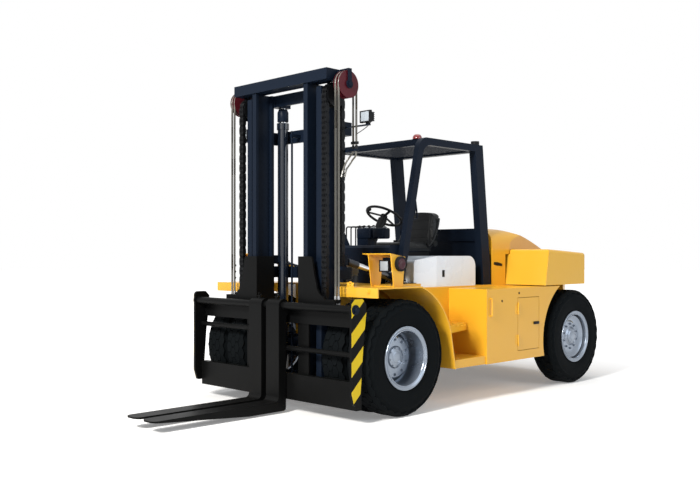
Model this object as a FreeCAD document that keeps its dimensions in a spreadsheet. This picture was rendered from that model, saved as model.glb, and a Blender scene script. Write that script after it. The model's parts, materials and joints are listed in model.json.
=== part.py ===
import FreeCAD, Part
import math
import os
import Sketcher

# A counterbalance forklift for loads of about ten tonnes, with two tyres on each end of its drive axle.
# Millimetres. +X is the truck's left, -Y its front, where the forks point, and +Z is up.
# Every sub-part is modelled about the point of the floor under the drive axle, and piece() then moves
# it along Y, so that the finished part has its origin at the middle of its length, on the floor.

DOC = FreeCAD.newDocument("CounterbalanceForklift")
SHEET = DOC.addObject("Spreadsheet::Sheet", "Sizes")
SUB_PARTS = []
AXES = {"X": 0, "Y": 1, "Z": 2}


class Size:
    """A length with its value and the spreadsheet expression that keeps it bound to the sheet."""

    def __init__(self, number, text):
        self.number = number
        self.text = text

    def joined(self, other, sign, number):
        return Size(number, f"({self.text} {sign} {as_size(other).text})")

    def __add__(self, other):
        return self.joined(other, "+", self.number + as_size(other).number)

    def __sub__(self, other):
        return self.joined(other, "-", self.number - as_size(other).number)

    def __mul__(self, other):
        return self.joined(other, "*", self.number * as_size(other).number)

    def __truediv__(self, other):
        return self.joined(other, "/", self.number / as_size(other).number)

    def __radd__(self, other):
        return as_size(other) + self

    def __rsub__(self, other):
        return as_size(other) - self

    def __rmul__(self, other):
        return as_size(other) * self

    def __neg__(self):
        return Size(-self.number, f"(-{self.text})")


def as_size(value):
    """A Size as it is, or a plain number as one."""
    if isinstance(value, Size):
        return value
    return Size(float(value), f"({float(value)})")


def function_of(name, value, number):
    return Size(number, f"{name}({as_size(value).text})")


def root(value):
    return function_of("sqrt", value, math.sqrt(as_size(value).number))


def sine(degrees):
    return function_of("sin", degrees, math.sin(math.radians(as_size(degrees).number)))


def cosine(degrees):
    return function_of("cos", degrees, math.cos(math.radians(as_size(degrees).number)))


def size(alias, value):
    """Writes one driving dimension in the sheet and returns it."""
    row = size.count = size.count + 1
    SHEET.set(f"A{row}", str(value))
    SHEET.setAlias(f"A{row}", alias)
    return Size(float(value), f"Sizes.{alias}")


size.count = 0

# ---------------------------------------------------------------- driving dimensions
wheelbase = size("wheelbase", 2800)
rear_overhang = size("rear_overhang", 650)
fork_length = size("fork_length", 1280)

tyre_radius = size("tyre_radius", 509)
tyre_width = size("tyre_width", 259)
bead_radius = size("bead_radius", 254)
flange_radius = size("flange_radius", 277)
rim_half_width = size("rim_half_width", 118)
rim_wall = size("rim_wall", 16)
wheel_face = size("wheel_face", 1115)
dual_pitch = size("dual_pitch", 309)
hub_radius = size("hub_radius", 105)
hub_clearance = size("hub_clearance", 0.3)
spindle_radius = size("spindle_radius", 70)
axle_tube_radius = size("axle_tube_radius", 90)
axle_tube_reach = size("axle_tube_reach", 540)
diff_radius = size("diff_radius", 205)

kingpin_offset = size("kingpin_offset", 120)
kingpin_radius = size("kingpin_radius", 26)
knuckle_radius = size("knuckle_radius", 58)
knuckle_height = size("knuckle_height", 219)
yoke_plate = size("yoke_plate", 30)
steer_spindle_radius = size("steer_spindle_radius", 45)
steer_beam_depth = size("steer_beam_depth", 160)

outer_rail_face = size("outer_rail_face", 516)
outer_rail_reach = size("outer_rail_reach", 65)
inner_rail_face = size("inner_rail_face", 385)
inner_rail_reach = size("inner_rail_reach", 54)
rail_depth = size("rail_depth", 220)
rail_flange = size("rail_flange", 30)
rail_web = size("rail_web", 22)
rail_stagger = size("rail_stagger", 45)
fork_to_rail = size("fork_to_rail", 182)
mast_clearance = size("mast_clearance", 23)
outer_mast_gap = size("outer_mast_gap", 37)
inner_mast_height = size("inner_mast_height", 3020)
top_beam_height = size("top_beam_height", 98)
top_beam_depth = size("top_beam_depth", 150)
top_beam_half = size("top_beam_half", 644)
roller_clearance = size("roller_clearance", 3)
tie_plate = size("tie_plate", 25)
cylinder_x = size("cylinder_x", 326)
cylinder_radius = size("cylinder_radius", 52)
cylinder_bore = size("cylinder_bore", 41)
rod_radius = size("rod_radius", 36)
cylinder_gap = size("cylinder_gap", 11)
cylinder_drop = size("cylinder_drop", 252)
lift_stroke = size("lift_stroke", 1500)
foot_height = size("foot_height", 150)
foot_clearance = size("foot_clearance", 14)
tie_drop = size("tie_drop", 285)
pipe_x = size("pipe_x", 160)
lamp_x = size("lamp_x", 842)

chain_x = size("chain_x", 577.5)
chain_width = size("chain_width", 59)
chain_thickness = size("chain_thickness", 42)
sheave_radius = size("sheave_radius", 76)
sheave_flange = size("sheave_flange", 102)
sheave_bore = size("sheave_bore", 22.4)
sheave_y = size("sheave_y", 131.5)
sheave_drop = size("sheave_drop", 122)
chain_anchor_z = size("chain_anchor_z", 1300)
carriage_anchor_z = size("carriage_anchor_z", 1000)
hose_inner_x = size("hose_inner_x", 704)
hose_outer_x = size("hose_outer_x", 743)
hose_radius = size("hose_radius", 9.5)
hose_wrap = size("hose_wrap", 108)
pulley_radius = size("pulley_radius", 120)
pulley_y = size("pulley_y", 143)
pulley_drop = size("pulley_drop", 140)
hose_tail = size("hose_tail", 550)
hose_fitting_z = size("hose_fitting_z", 1020)

carriage_half = size("carriage_half", 1100)
side_plate = size("side_plate", 25)
side_plate_setback = size("side_plate_setback", 15)
side_plate_foot = size("side_plate_foot", 115)
side_plate_bottom = size("side_plate_bottom", 170)
side_plate_top = size("side_plate_top", 1042)
cross_plate = size("cross_plate", 60)
face_plate = size("face_plate", 20)
upright_inner = size("upright_inner", 290)
upright_outer = size("upright_outer", 325)
upright_top = size("upright_top", 1390)
shaft_radius = size("shaft_radius", 33)
shaft_z = size("shaft_z", 955)
guide_radius = size("guide_radius", 22)
right_guide_z = size("right_guide_z", 722)
left_guide_z = size("left_guide_z", 575)

fork_width = size("fork_width", 175)
fork_thickness = size("fork_thickness", 85)
fork_gap = size("fork_gap", 68)
fork_clear = size("fork_clear", 10)
fork_bottom = size("fork_bottom", 20)
fork_tip_thickness = size("fork_tip_thickness", 14)
hook_radius = size("hook_radius", 57)

tilt_x = size("tilt_x", 483.5)
tilt_yoke_reach = size("tilt_yoke_reach", 69)
tilt_yoke_height = size("tilt_yoke_height", 232)
tilt_length = size("tilt_length", 740)
tilt_slope = size("tilt_slope", 14)
tilt_barrel_radius = size("tilt_barrel_radius", 45)
tilt_barrel_bore = size("tilt_barrel_bore", 34)
tilt_barrel_length = size("tilt_barrel_length", 370)
tilt_rod_radius = size("tilt_rod_radius", 27)
tilt_end_length = size("tilt_end_length", 198)
tilt_rod_tail = size("tilt_rod_tail", 250)
tilt_eye_radius = size("tilt_eye_radius", 42)
tilt_eye_width = size("tilt_eye_width", 36.4)
tilt_pin_radius = size("tilt_pin_radius", 20)

frame_half = size("frame_half", 400)
frame_plate = size("frame_plate", 30)
frame_front = size("frame_front", 60)
frame_rear = size("frame_rear", 2440)
frame_drop = size("frame_drop", 109)
deck_rise = size("deck_rise", 55)
fender_dip = size("fender_dip", 34)
deck_plate = size("deck_plate", 12)
deck_front = size("deck_front", 368)
fender_inner = size("fender_inner", 540)
body_half = size("body_half", 1110)
fender_clearance = size("fender_clearance", 141)
fender_foot_y = size("fender_foot_y", 692)
fender_foot_z = size("fender_foot_z", 350)
fender_notch = size("fender_notch", 100)
fender_notch_depth = size("fender_notch_depth", 72)
box_front = size("box_front", 1170)
box_bottom = size("box_bottom", 349)
box_inner = size("box_inner", 640)
box_wall = size("box_wall", 8)
arch_radius = size("arch_radius", 640)
door_front = size("door_front", 1697)
door_width = size("door_width", 380)
door_sill = size("door_sill", 93)
door_head = size("door_head", 103)
door_gap = size("door_gap", 5)
step_front_reach = size("step_front_reach", 1040)
step_rear_reach = size("step_rear_reach", 872)

hood_half = size("hood_half", 600)
seat_hood_front = size("seat_hood_front", 737)
seat_hood_rear = size("seat_hood_rear", 1674)
seat_hood_height = size("seat_hood_height", 265)
hood_front = size("hood_front", 1965)
hood_rear = size("hood_rear", 3155)
hood_height = size("hood_height", 275)
hood_tail_height = size("hood_tail_height", 42)
hood_tail_half = size("hood_tail_half", 480)
hood_level = size("hood_level", 335)
hood_sheet = size("hood_sheet", 8)
hood_shoulder = size("hood_shoulder", 170)
hood_gap = size("hood_gap", 12)
hood_seat_gap = size("hood_seat_gap", 0.3)

weight_front = size("weight_front", 2220)
weight_lean = size("weight_lean", 73)
weight_half = size("weight_half", 1100)
weight_gap = size("weight_gap", 10)
weight_height = size("weight_height", 328)
weight_crown_height = size("weight_crown_height", 54)
weight_fall = size("weight_fall", 10)
weight_round = size("weight_round", 34)
weight_core_half = size("weight_core_half", 400)
weight_core_gap = size("weight_core_gap", 156)
weight_tail_half = size("weight_tail_half", 600)
weight_lobe_bottom = size("weight_lobe_bottom", 300)
weight_lobe_half = size("weight_lobe_half", 640)
tow_pin_radius = size("tow_pin_radius", 20)

guard_half = size("guard_half", 600)
guard_height = size("guard_height", 1427)
guard_rail = size("guard_rail", 72)
guard_leg_width = size("guard_leg_width", 60)
guard_rear_width = size("guard_rear_width", 80)
guard_rear_depth = size("guard_rear_depth", 136)
guard_front_foot = size("guard_front_foot", 465)
guard_front_head = size("guard_front_head", 790)
guard_rear_foot = size("guard_rear_foot", 1956)
guard_rear_head = size("guard_rear_head", 1803)
slat_count = size("slat_count", 10)

wheel_y = size("wheel_y", 919)
wheel_height = size("wheel_height", 675)
wheel_ring = size("wheel_ring", 185)
wheel_grip = size("wheel_grip", 13)
column_lean = size("column_lean", 30)

cowl_half = size("cowl_half", 420)
cowl_front = size("cowl_front", 400)
cowl_rear = size("cowl_rear", 700)
cowl_foot = size("cowl_foot", 205)
cowl_height = size("cowl_height", 165)

seat_half = size("seat_half", 235)
seat_front = size("seat_front", 965)

engine_front = size("engine_front", 1250)
engine_rear = size("engine_rear", 2050)
engine_half = size("engine_half", 280)
engine_clearance = size("engine_clearance", 50)

bracket_inner_x = size("bracket_inner_x", 775)
bracket_outer_x = size("bracket_outer_x", 1050)
bracket_plate = size("bracket_plate", 9)
bracket_height = size("bracket_height", 291)

# ---------------------------------------------------------------- places that follow from them
axle_neck = axle_tube_radius + 5
mast_depth = rail_depth + rail_stagger + cylinder_gap + cylinder_radius * 2
front_overhang = fork_to_rail + mast_depth + mast_clearance + axle_neck
side_plate_front = front_overhang - side_plate_setback
drive_axle_y = (fork_length + front_overhang - wheelbase - rear_overhang) / 2
hub_bore = spindle_radius + hub_clearance
inner_rail_front = fork_to_rail - front_overhang
outer_rail_front = inner_rail_front + rail_stagger
inner_rail_rear = inner_rail_front + rail_depth
outer_rail_rear = outer_rail_front + rail_depth
outer_wheel_x = wheel_face - tyre_width / 2
cylinder_y = outer_rail_rear + cylinder_gap + cylinder_radius
tie_front = cylinder_y + cylinder_radius + cylinder_gap + 7
roller_radius = rail_depth / 2 - rail_flange - roller_clearance
sheave_centre = inner_rail_front + sheave_y
pulley_centre = inner_rail_front + pulley_y
beam_bottom = inner_mast_height - top_beam_height
outer_mast_height = beam_bottom - outer_mast_gap
tie_top = outer_mast_height - tie_drop
cylinder_top = beam_bottom - cylinder_drop
sheave_z = beam_bottom - sheave_drop
pulley_z = inner_mast_height - pulley_drop
hose_clamp_z = pulley_z - hose_tail
beam_front = inner_rail_front - 16
fork_back = fork_thickness - front_overhang
plate_front = fork_back + fork_clear
plate_rear = plate_front + cross_plate
face_rear = plate_rear + face_plate
shaft_y = hook_radius - front_overhang
guide_y = plate_front + 14
foot_top = tyre_radius - diff_radius - foot_clearance
rail_foot = foot_top - foot_height
fender_radius = tyre_radius + fender_clearance
deck_top = tyre_radius + fender_radius - fender_dip
tilt_yoke_y = -outer_rail_rear - tilt_yoke_reach
tilt_yoke_z = deck_top + tilt_yoke_height
tilt_anchor_y = tilt_length * cosine(tilt_slope) - tilt_yoke_y
tilt_anchor_z = tilt_yoke_z - tilt_length * sine(tilt_slope)
kingpin_x = wheel_face - tyre_width / 2 - kingpin_offset
pipe_y = cylinder_y - 30
lamp_y = tie_front - 107
lamp_z = tie_top
deck_bottom = deck_top - deck_plate
frame_top = deck_top - deck_rise
frame_bottom = tyre_radius - frame_drop
frame_tail_bottom = frame_bottom + 220
door_bottom = box_bottom + door_sill
door_height = frame_top - door_head - door_bottom
seat_hood_top = deck_top + seat_hood_height
guard_top = deck_top + guard_height
wheel_z = deck_top + wheel_height
cowl_low = deck_top + cowl_foot
cowl_top = cowl_low + cowl_height
weight_bottom = frame_top + weight_gap
weight_top = weight_bottom + weight_height
weight_crown = weight_top + weight_crown_height
weight_tail_top = weight_top - weight_fall
weight_core_bottom = tyre_radius + weight_core_gap
hood_seat = weight_top + hood_seat_gap
hood_top = weight_top + hood_height
hood_tail_top = weight_top + hood_tail_height
hinge_x = body_half + 7.4
hinge_y = door_front - 2


# ---------------------------------------------------------------- modelling helpers
def bind(item, path, value):
    item.setExpression(path, as_size(value).text)


def add(kind, name, **links):
    item = DOC.addObject(kind, name)
    for link, value in links.items():
        setattr(item, link, value)
    return item


def place(item, x, y, z):
    bind(item, "Placement.Base.x", x)
    bind(item, "Placement.Base.y", y)
    bind(item, "Placement.Base.z", z)
    return item


def box(x0, x1, y0, y1, z0, z1):
    """A block between two values on each axis."""
    item = add("Part::Box", "Block")
    bind(item, "Length", as_size(x1) - x0)
    bind(item, "Width", as_size(y1) - y0)
    bind(item, "Height", as_size(z1) - z0)
    return place(item, x0, y0, z0)


def turned(item, axis):
    """Points a shape that was made along Z along another axis."""
    turns = {
        "X": FreeCAD.Rotation(FreeCAD.Vector(0, 1, 0), 90),
        "Y": FreeCAD.Rotation(FreeCAD.Vector(1, 0, 0), -90),
    }
    if axis in turns:
        item.Placement = FreeCAD.Placement(FreeCAD.Vector(), turns[axis])
    return item


def cylinder(axis, x, y, z, radius, length):
    """A round bar that starts at a point and runs along an axis."""
    item = turned(add("Part::Cylinder", "Round"), axis)
    bind(item, "Radius", radius)
    bind(item, "Height", length)
    return place(item, x, y, z)


def torus(x, y, z, ring, tube):
    item = add("Part::Torus", "Ring")
    bind(item, "Radius1", ring)
    bind(item, "Radius2", tube)
    return place(item, x, y, z)


def fuse(*items):
    return add("Part::MultiFuse", "Joined", Shapes=list(items), Refine=True)


def cut(base, *tools):
    tool = tools[0] if len(tools) == 1 else fuse(*tools)
    return add("Part::Cut", "Trimmed", Base=base, Tool=tool, Refine=True)


def mirrored(item):
    return add("Part::Mirroring", "Opposite", Source=item, Normal=FreeCAD.Vector(1, 0, 0))


def both_sides(item):
    return add("Part::Compound", "BothSides", Links=[item, mirrored(item)])


def group(*items):
    return add("Part::Compound", "Set", Links=list(items))


def leaned(item, angle, x, y, z):
    """Turns a shape about the X axis by an angle and puts its origin at a point."""
    if item.TypeId == "Part::Cylinder":
        item = group(item)
    item.Placement = FreeCAD.Placement(FreeCAD.Vector(), FreeCAD.Rotation(FreeCAD.Vector(1, 0, 0), 1))
    bind(item, "Placement.Rotation.Angle", angle)
    return place(item, x, y, z)


def piece(label, item, x=0, y=0, z=0):
    """Names a finished sub-part and puts it in its place along the truck."""
    if item.TypeId in ("Part::Box", "Part::Cylinder"):
        item = group(item)
    item.Label = label
    place(item, x, drive_axle_y + y, z)
    SUB_PARTS.append(item)
    return item


def origin_plane(body, role):
    return next(feature for feature in body.Origin.OriginFeatures if feature.Role == role)


def new_body(name="Body"):
    body = DOC.addObject("PartDesign::Body", name)
    body.AllowCompound = True
    return body


def pin_point(sketch, edge, end, x, y):
    """Fixes one end of a sketch line at a point that is bound to the sheet."""
    for kind, value, axis in (("DistanceX", x, -2), ("DistanceY", y, -1)):
        value = as_size(value)
        if value.text == "(0.0)":
            sketch.addConstraint(Sketcher.Constraint("PointOnObject", edge, end, axis))
            continue
        row = sketch.addConstraint(Sketcher.Constraint(kind, -1, 1, edge, end, value.number))
        sketch.setExpression(f"Constraints[{row}]", value.text)


def draw(sketch, outline):
    """Draws a closed outline of (x, y) or (x, y, rise) corners, where rise bows the side that ends there."""
    first = sketch.GeometryCount
    points = [FreeCAD.Vector(as_size(p[0]).number, as_size(p[1]).number, 0) for p in outline]
    ends = []
    for index, corner in enumerate(outline):
        start, end = points[index - 1], points[index]
        if len(corner) == 2:
            sketch.addGeometry(Part.LineSegment(start, end))
            ends.append((1, 2))
            continue
        rise = as_size(corner[2]).number
        chord = end - start
        radius = (chord.Length ** 2 / 4 + rise ** 2) / (2 * abs(rise))
        left = FreeCAD.Vector(-chord.y, chord.x, 0).normalize()
        centre = (start + end) / 2 + left * (rise - math.copysign(radius, rise))
        clockwise = rise > 0
        low, high = (end, start) if clockwise else (start, end)
        turns = [math.atan2(spot.y - centre.y, spot.x - centre.x) for spot in (low, high)]
        if turns[1] < turns[0]:
            turns[1] += 2 * math.pi
        circle = Part.Circle(centre, FreeCAD.Vector(0, 0, 1), radius)
        sketch.addGeometry(Part.ArcOfCircle(circle, *turns))
        ends.append((2, 1) if clockwise else (1, 2))
    for index, corner in enumerate(outline):
        edge, following = first + index, first + (index + 1) % len(outline)
        sketch.addConstraint(
            Sketcher.Constraint(
                "Coincident", edge, ends[index][1], following, ends[(index + 1) % len(outline)][0],
            )
        )
        pin_point(sketch, edge, ends[index][1], corner[0], corner[1])
    for index, corner in enumerate(outline):
        if len(corner) == 3:
            before = outline[index - 1]
            wide = as_size(corner[0]) - before[0]
            high = as_size(corner[1]) - before[1]
            rise = as_size(corner[2])
            bow = rise if rise.number > 0 else -rise
            radius = ((wide * wide + high * high) / 4 + bow * bow) / (2 * bow)
            row = sketch.addConstraint(Sketcher.Constraint("Radius", first + index, radius.number))
            sketch.setExpression(f"Constraints[{row}]", radius.text)


def new_sketch(body, plane, height, *outlines):
    """A sketch on one of the body's own planes, raised along its normal."""
    sketch = body.newObject("Sketcher::SketchObject", "Outline")
    sketch.AttachmentSupport = [(origin_plane(body, plane), "")]
    sketch.MapMode = "FlatFace"
    bind(sketch, "AttachmentOffset.Base.z", height)
    for outline in outlines:
        draw(sketch, outline)
    return sketch


def feature(body, kind, sketch=None, **bound):
    item = body.newObject(f"PartDesign::{kind}", kind)
    if sketch:
        item.Profile = sketch
        sketch.Visibility = False
    for path, value in bound.items():
        bind(item, path, value)
    body.Tip = item
    return item


def plate_x(x0, x1, *outlines, body=None):
    """A pad between two X values of outlines drawn as (y, z)."""
    body = body or new_body()
    feature(body, "Pad", new_sketch(body, "YZ_Plane", x0, *outlines), Length=as_size(x1) - x0)
    return body


def plate_y(y0, y1, *outlines, body=None):
    """A pad between two Y values of outlines drawn as (x, z)."""
    body = body or new_body()
    feature(body, "Pad", new_sketch(body, "XZ_Plane", -as_size(y1), *outlines), Length=as_size(y1) - y0)
    return body


def plate_z(z0, z1, *outlines, body=None):
    """A pad between two Z values of outlines drawn as (x, y)."""
    body = body or new_body()
    feature(body, "Pad", new_sketch(body, "XY_Plane", z0, *outlines), Length=as_size(z1) - z0)
    return body


def turning(*outlines):
    """A body turned about the X axis from outlines drawn as (x, radius)."""
    body = new_body()
    sketch = new_sketch(body, "XZ_Plane", 0, *outlines)
    item = feature(body, "Revolution", sketch)
    item.ReferenceAxis = (sketch, ["H_Axis"])
    item.Angle = 360
    return body


def mirror_body(body):
    item = body.newObject("PartDesign::Mirrored", "Mirrored")
    item.Originals = [body.Tip]
    item.MirrorPlane = (origin_plane(body, "YZ_Plane"), [""])
    body.Tip = item
    return body


def edges_along(shape, axis, *places):
    """The names of straight edges along an axis that pass through the given places on the other two."""
    index = AXES[axis]
    others = [n for n in range(3) if n != index]
    names = []
    for number, edge in enumerate(shape.Edges, 1):
        start, end = edge.Vertexes[0].Point, edge.Vertexes[-1].Point
        run = end - start
        if run.Length < 1e-6 or abs(run[index]) < 0.999 * run.Length:
            continue
        for spot in places:
            gap = [start[n] - as_size(spot[k]).number for k, n in enumerate(others)]
            if math.hypot(*gap) < 0.1:
                names.append(f"Edge{number}")
                break
    return names


def round_off(body, radius, axis, *places):
    """Rounds the body's edges along an axis at the given places."""
    DOC.recompute()
    base = body.Tip
    names = edges_along(base.Shape, axis, *places)
    item = body.newObject("PartDesign::Fillet", "Fillet")
    item.Base = (base, names)
    bind(item, "Radius", radius)
    body.Tip = item
    return body


def round_rim(body, radius, chosen):
    """Rounds every edge of the body that passes a test."""
    DOC.recompute()
    base = body.Tip
    names = [f"Edge{number}" for number, edge in enumerate(base.Shape.Edges, 1) if chosen(edge)]
    item = body.newObject("PartDesign::Fillet", "Fillet")
    item.Base = (base, names)
    bind(item, "Radius", radius)
    body.Tip = item
    return body


def arc_rise(radius, start, end):
    """How far an arc of a given radius rises above its chord."""
    wide = as_size(end[0]) - start[0]
    high = as_size(end[1]) - start[1]
    return radius - root(radius * radius - (wide * wide + high * high) / 4)


# ---------------------------------------------------------------- wheels
def tyre_outline(centre, side):
    """The section of one tyre: beads, bowed side walls, shoulders and a crowned tread."""
    half = tyre_width / 2
    shoulder = tyre_radius - 14
    belt = tyre_radius - 58
    bead = flange_radius + 6

    def at(offset):
        return (centre + offset) * side

    return [
        (at(20 - rim_half_width), bead_radius),
        (at(rim_half_width - 20), bead_radius),
        (at(half - 24), bead),
        (at(half - 12), belt, -18 * side),
        (at(half - 23), shoulder, -4 * side),
        (at(23 - half), shoulder, -14 * side),
        (at(12 - half), belt, -4 * side),
        (at(24 - half), bead, -18 * side),
    ]


def barrel_outline(centre):
    """The rolled rim round one tyre, from its inboard end to its outboard end."""
    seat = bead_radius - 0.3
    inner = bead_radius - rim_wall
    lip = flange_radius - 15
    return [
        (centre - rim_half_width + 6, inner),
        (centre - rim_half_width - 8, lip),
        (centre - rim_half_width - 8, flange_radius),
        (centre - rim_half_width, flange_radius),
        (centre - rim_half_width + 8, seat),
        (centre + rim_half_width - 8, seat),
        (centre + rim_half_width, flange_radius),
        (centre + rim_half_width + 8, flange_radius),
        (centre + rim_half_width + 8, lip),
        (centre + rim_half_width - 6, inner),
    ]


def sided(points, side):
    return [(point[0] * side, point[1]) for point in points]


def front_rim_outline(side):
    """Two rims bolted back to back on the drive hub, so that the outer one is deeply dished."""
    inner = bead_radius - rim_wall
    middle = -dual_pitch / 2
    hub_start = axle_tube_reach + 5 - outer_wheel_x
    bore_end = hub_start + 160
    points = [
        (bore_end, 0),
        (bore_end, hub_bore),
        (hub_start, hub_bore),
        (hub_start, hub_radius),
        (middle - 21, hub_radius),
        (middle - 21, inner - 53),
        (middle - 107, inner - 13),
        (middle - 107, inner),
        *barrel_outline(-dual_pitch),
        (middle - 91, inner),
        (middle - 91, inner - 6),
        (middle - 13, inner - 38),
        (middle + 13, inner - 38),
        (middle + 79, inner - 6),
        (middle + 79, inner),
        *barrel_outline(0),
        (middle + 95, inner),
        (middle + 95, inner - 12),
        (middle + 21, inner - 52),
        (middle + 21, hub_radius),
        (middle + 138, hub_radius),
        (middle + 158, hub_radius - 15),
        (middle + 166, hub_radius - 45),
        (middle + 166, 0),
    ]
    return sided(points, side)


def rear_rim_outline(side):
    """A rim with its disc outboard, so that the steering knuckle stands inside it."""
    inner = bead_radius - rim_wall
    bore = steer_spindle_radius + 0.3
    points = [
        (45, 0),
        (45, bore),
        (-50, bore),
        (-50, bore + 38),
        (30, bore + 38),
        (30, inner - 56),
        (-10, inner - 16),
        (-10, inner),
        *barrel_outline(0),
        (6, inner),
        (6, inner - 10),
        (44, inner - 44),
        (44, bore + 38),
        (85, bore + 38),
        (95, bore + 23),
        (95, 0),
    ]
    return sided(points, side)


def wheels():
    for name, side in (("left", 1), ("right", -1)):
        duals = turning(tyre_outline(0, side), tyre_outline(-dual_pitch, side))
        piece(f"{name}_front_tyres", duals, x=outer_wheel_x * side, z=tyre_radius)
        piece(
            f"{name}_front_rims", turning(front_rim_outline(side)), x=outer_wheel_x * side,
            z=tyre_radius,
        )
        single = turning(tyre_outline(0, side))
        piece(f"{name}_rear_tyre", single, x=outer_wheel_x * side, y=wheelbase, z=tyre_radius)
        piece(
            f"{name}_rear_rim", turning(rear_rim_outline(side)), x=outer_wheel_x * side,
            y=wheelbase, z=tyre_radius,
        )


def drive_axle():
    """Banjo housing, tubes with brake flanges, the spindles that carry the hubs, and the frame pads."""
    spindle_end = axle_tube_reach + 150
    flange = axle_tube_reach - 15
    neck = axle_neck
    bowl = root(diff_radius * diff_radius - neck * neck)
    housing = turning(
        [
            (-spindle_end, 0),
            (-spindle_end, spindle_radius),
            (-axle_tube_reach, spindle_radius),
            (-axle_tube_reach, axle_tube_radius + 40),
            (-flange, axle_tube_radius + 40),
            (-flange, axle_tube_radius),
            (-bowl, neck),
            (bowl, neck, diff_radius - neck),
            (flange, axle_tube_radius),
            (flange, axle_tube_radius + 40),
            (axle_tube_reach, axle_tube_radius + 40),
            (axle_tube_reach, spindle_radius),
            (spindle_end, spindle_radius),
            (spindle_end, 0),
        ]
    )
    place(housing, 0, 0, tyre_radius)
    pad = box(frame_half - 55, frame_half + 35, -45, frame_front + 50, tyre_radius, tyre_radius + 116)
    return piece("drive_axle", fuse(housing, pad, mirrored(pad)))


def steer_axle():
    """A box beam that ends in two plates at each side, between which the knuckles turn."""
    beam_half = steer_beam_depth / 2
    y0, y1 = wheelbase - beam_half, wheelbase + beam_half
    reach = knuckle_height / 2 + 0.5
    end = kingpin_x + 60
    beam = box(-(kingpin_x - 106), kingpin_x - 106, y0, y1, tyre_radius - 70, tyre_radius + 70)
    block = box(
        kingpin_x - 206, kingpin_x - 106, y0, y1, tyre_radius - reach - yoke_plate,
        tyre_radius + reach + yoke_plate,
    )
    jaws = []
    for bottom in (tyre_radius + reach, tyre_radius - reach - yoke_plate):
        jaws.append(
            box(kingpin_x - 130, kingpin_x, wheelbase - 60, wheelbase + 60, bottom, bottom + yoke_plate)
        )
        jaws.append(cylinder("Z", kingpin_x, wheelbase, bottom, 60, yoke_plate))
    hole = cylinder("Z", kingpin_x, wheelbase, tyre_radius - 200, kingpin_radius + 0.5, 400)
    side = cut(fuse(block, *jaws), hole)
    saddle = box(frame_half / 2, frame_half / 2 + 80, y0, y1, tyre_radius + 70, frame_tail_bottom)
    return piece("steer_axle", fuse(beam, side, mirrored(side), saddle, mirrored(saddle)))


def knuckles():
    """Each knuckle is one forging: the boss on its kingpin and the spindle that carries the hub."""
    for name, side in (("left", 1), ("right", -1)):
        bottom = tyre_radius - knuckle_height / 2
        boss = cylinder("Z", kingpin_x * side, wheelbase, bottom, knuckle_radius, knuckle_height)
        pin = cylinder(
            "Z", kingpin_x * side, wheelbase, bottom - yoke_plate, kingpin_radius, knuckle_height + yoke_plate * 2
        )
        length = kingpin_offset + 40
        start = kingpin_x if side > 0 else -kingpin_x - length
        spindle = cylinder("X", start, wheelbase, tyre_radius, steer_spindle_radius, length)
        piece(f"{name}_knuckle", fuse(boss, pin, spindle))


# ---------------------------------------------------------------- mast
def channel(face, reach, front):
    """A rail section that opens inward, with its web on the outer side."""
    rear = front + rail_depth
    return [
        (face, front),
        (face, rear),
        (face - reach, rear),
        (face - reach, rear - rail_flange),
        (face - rail_web, rear - rail_flange),
        (face - rail_web, front + rail_flange),
        (face - reach, front + rail_flange),
        (face - reach, front),
    ]


def tie(z0, z1):
    """A cross-member of the outer mast that passes behind the lift cylinders."""
    plate = box(-outer_rail_face, outer_rail_face, tie_front, tie_front + tie_plate, z0, z1)
    cheek = box(outer_rail_face - 30, outer_rail_face, outer_rail_rear, tie_front, z0, z1)
    return [plate, cheek, mirrored(cheek)]


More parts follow.
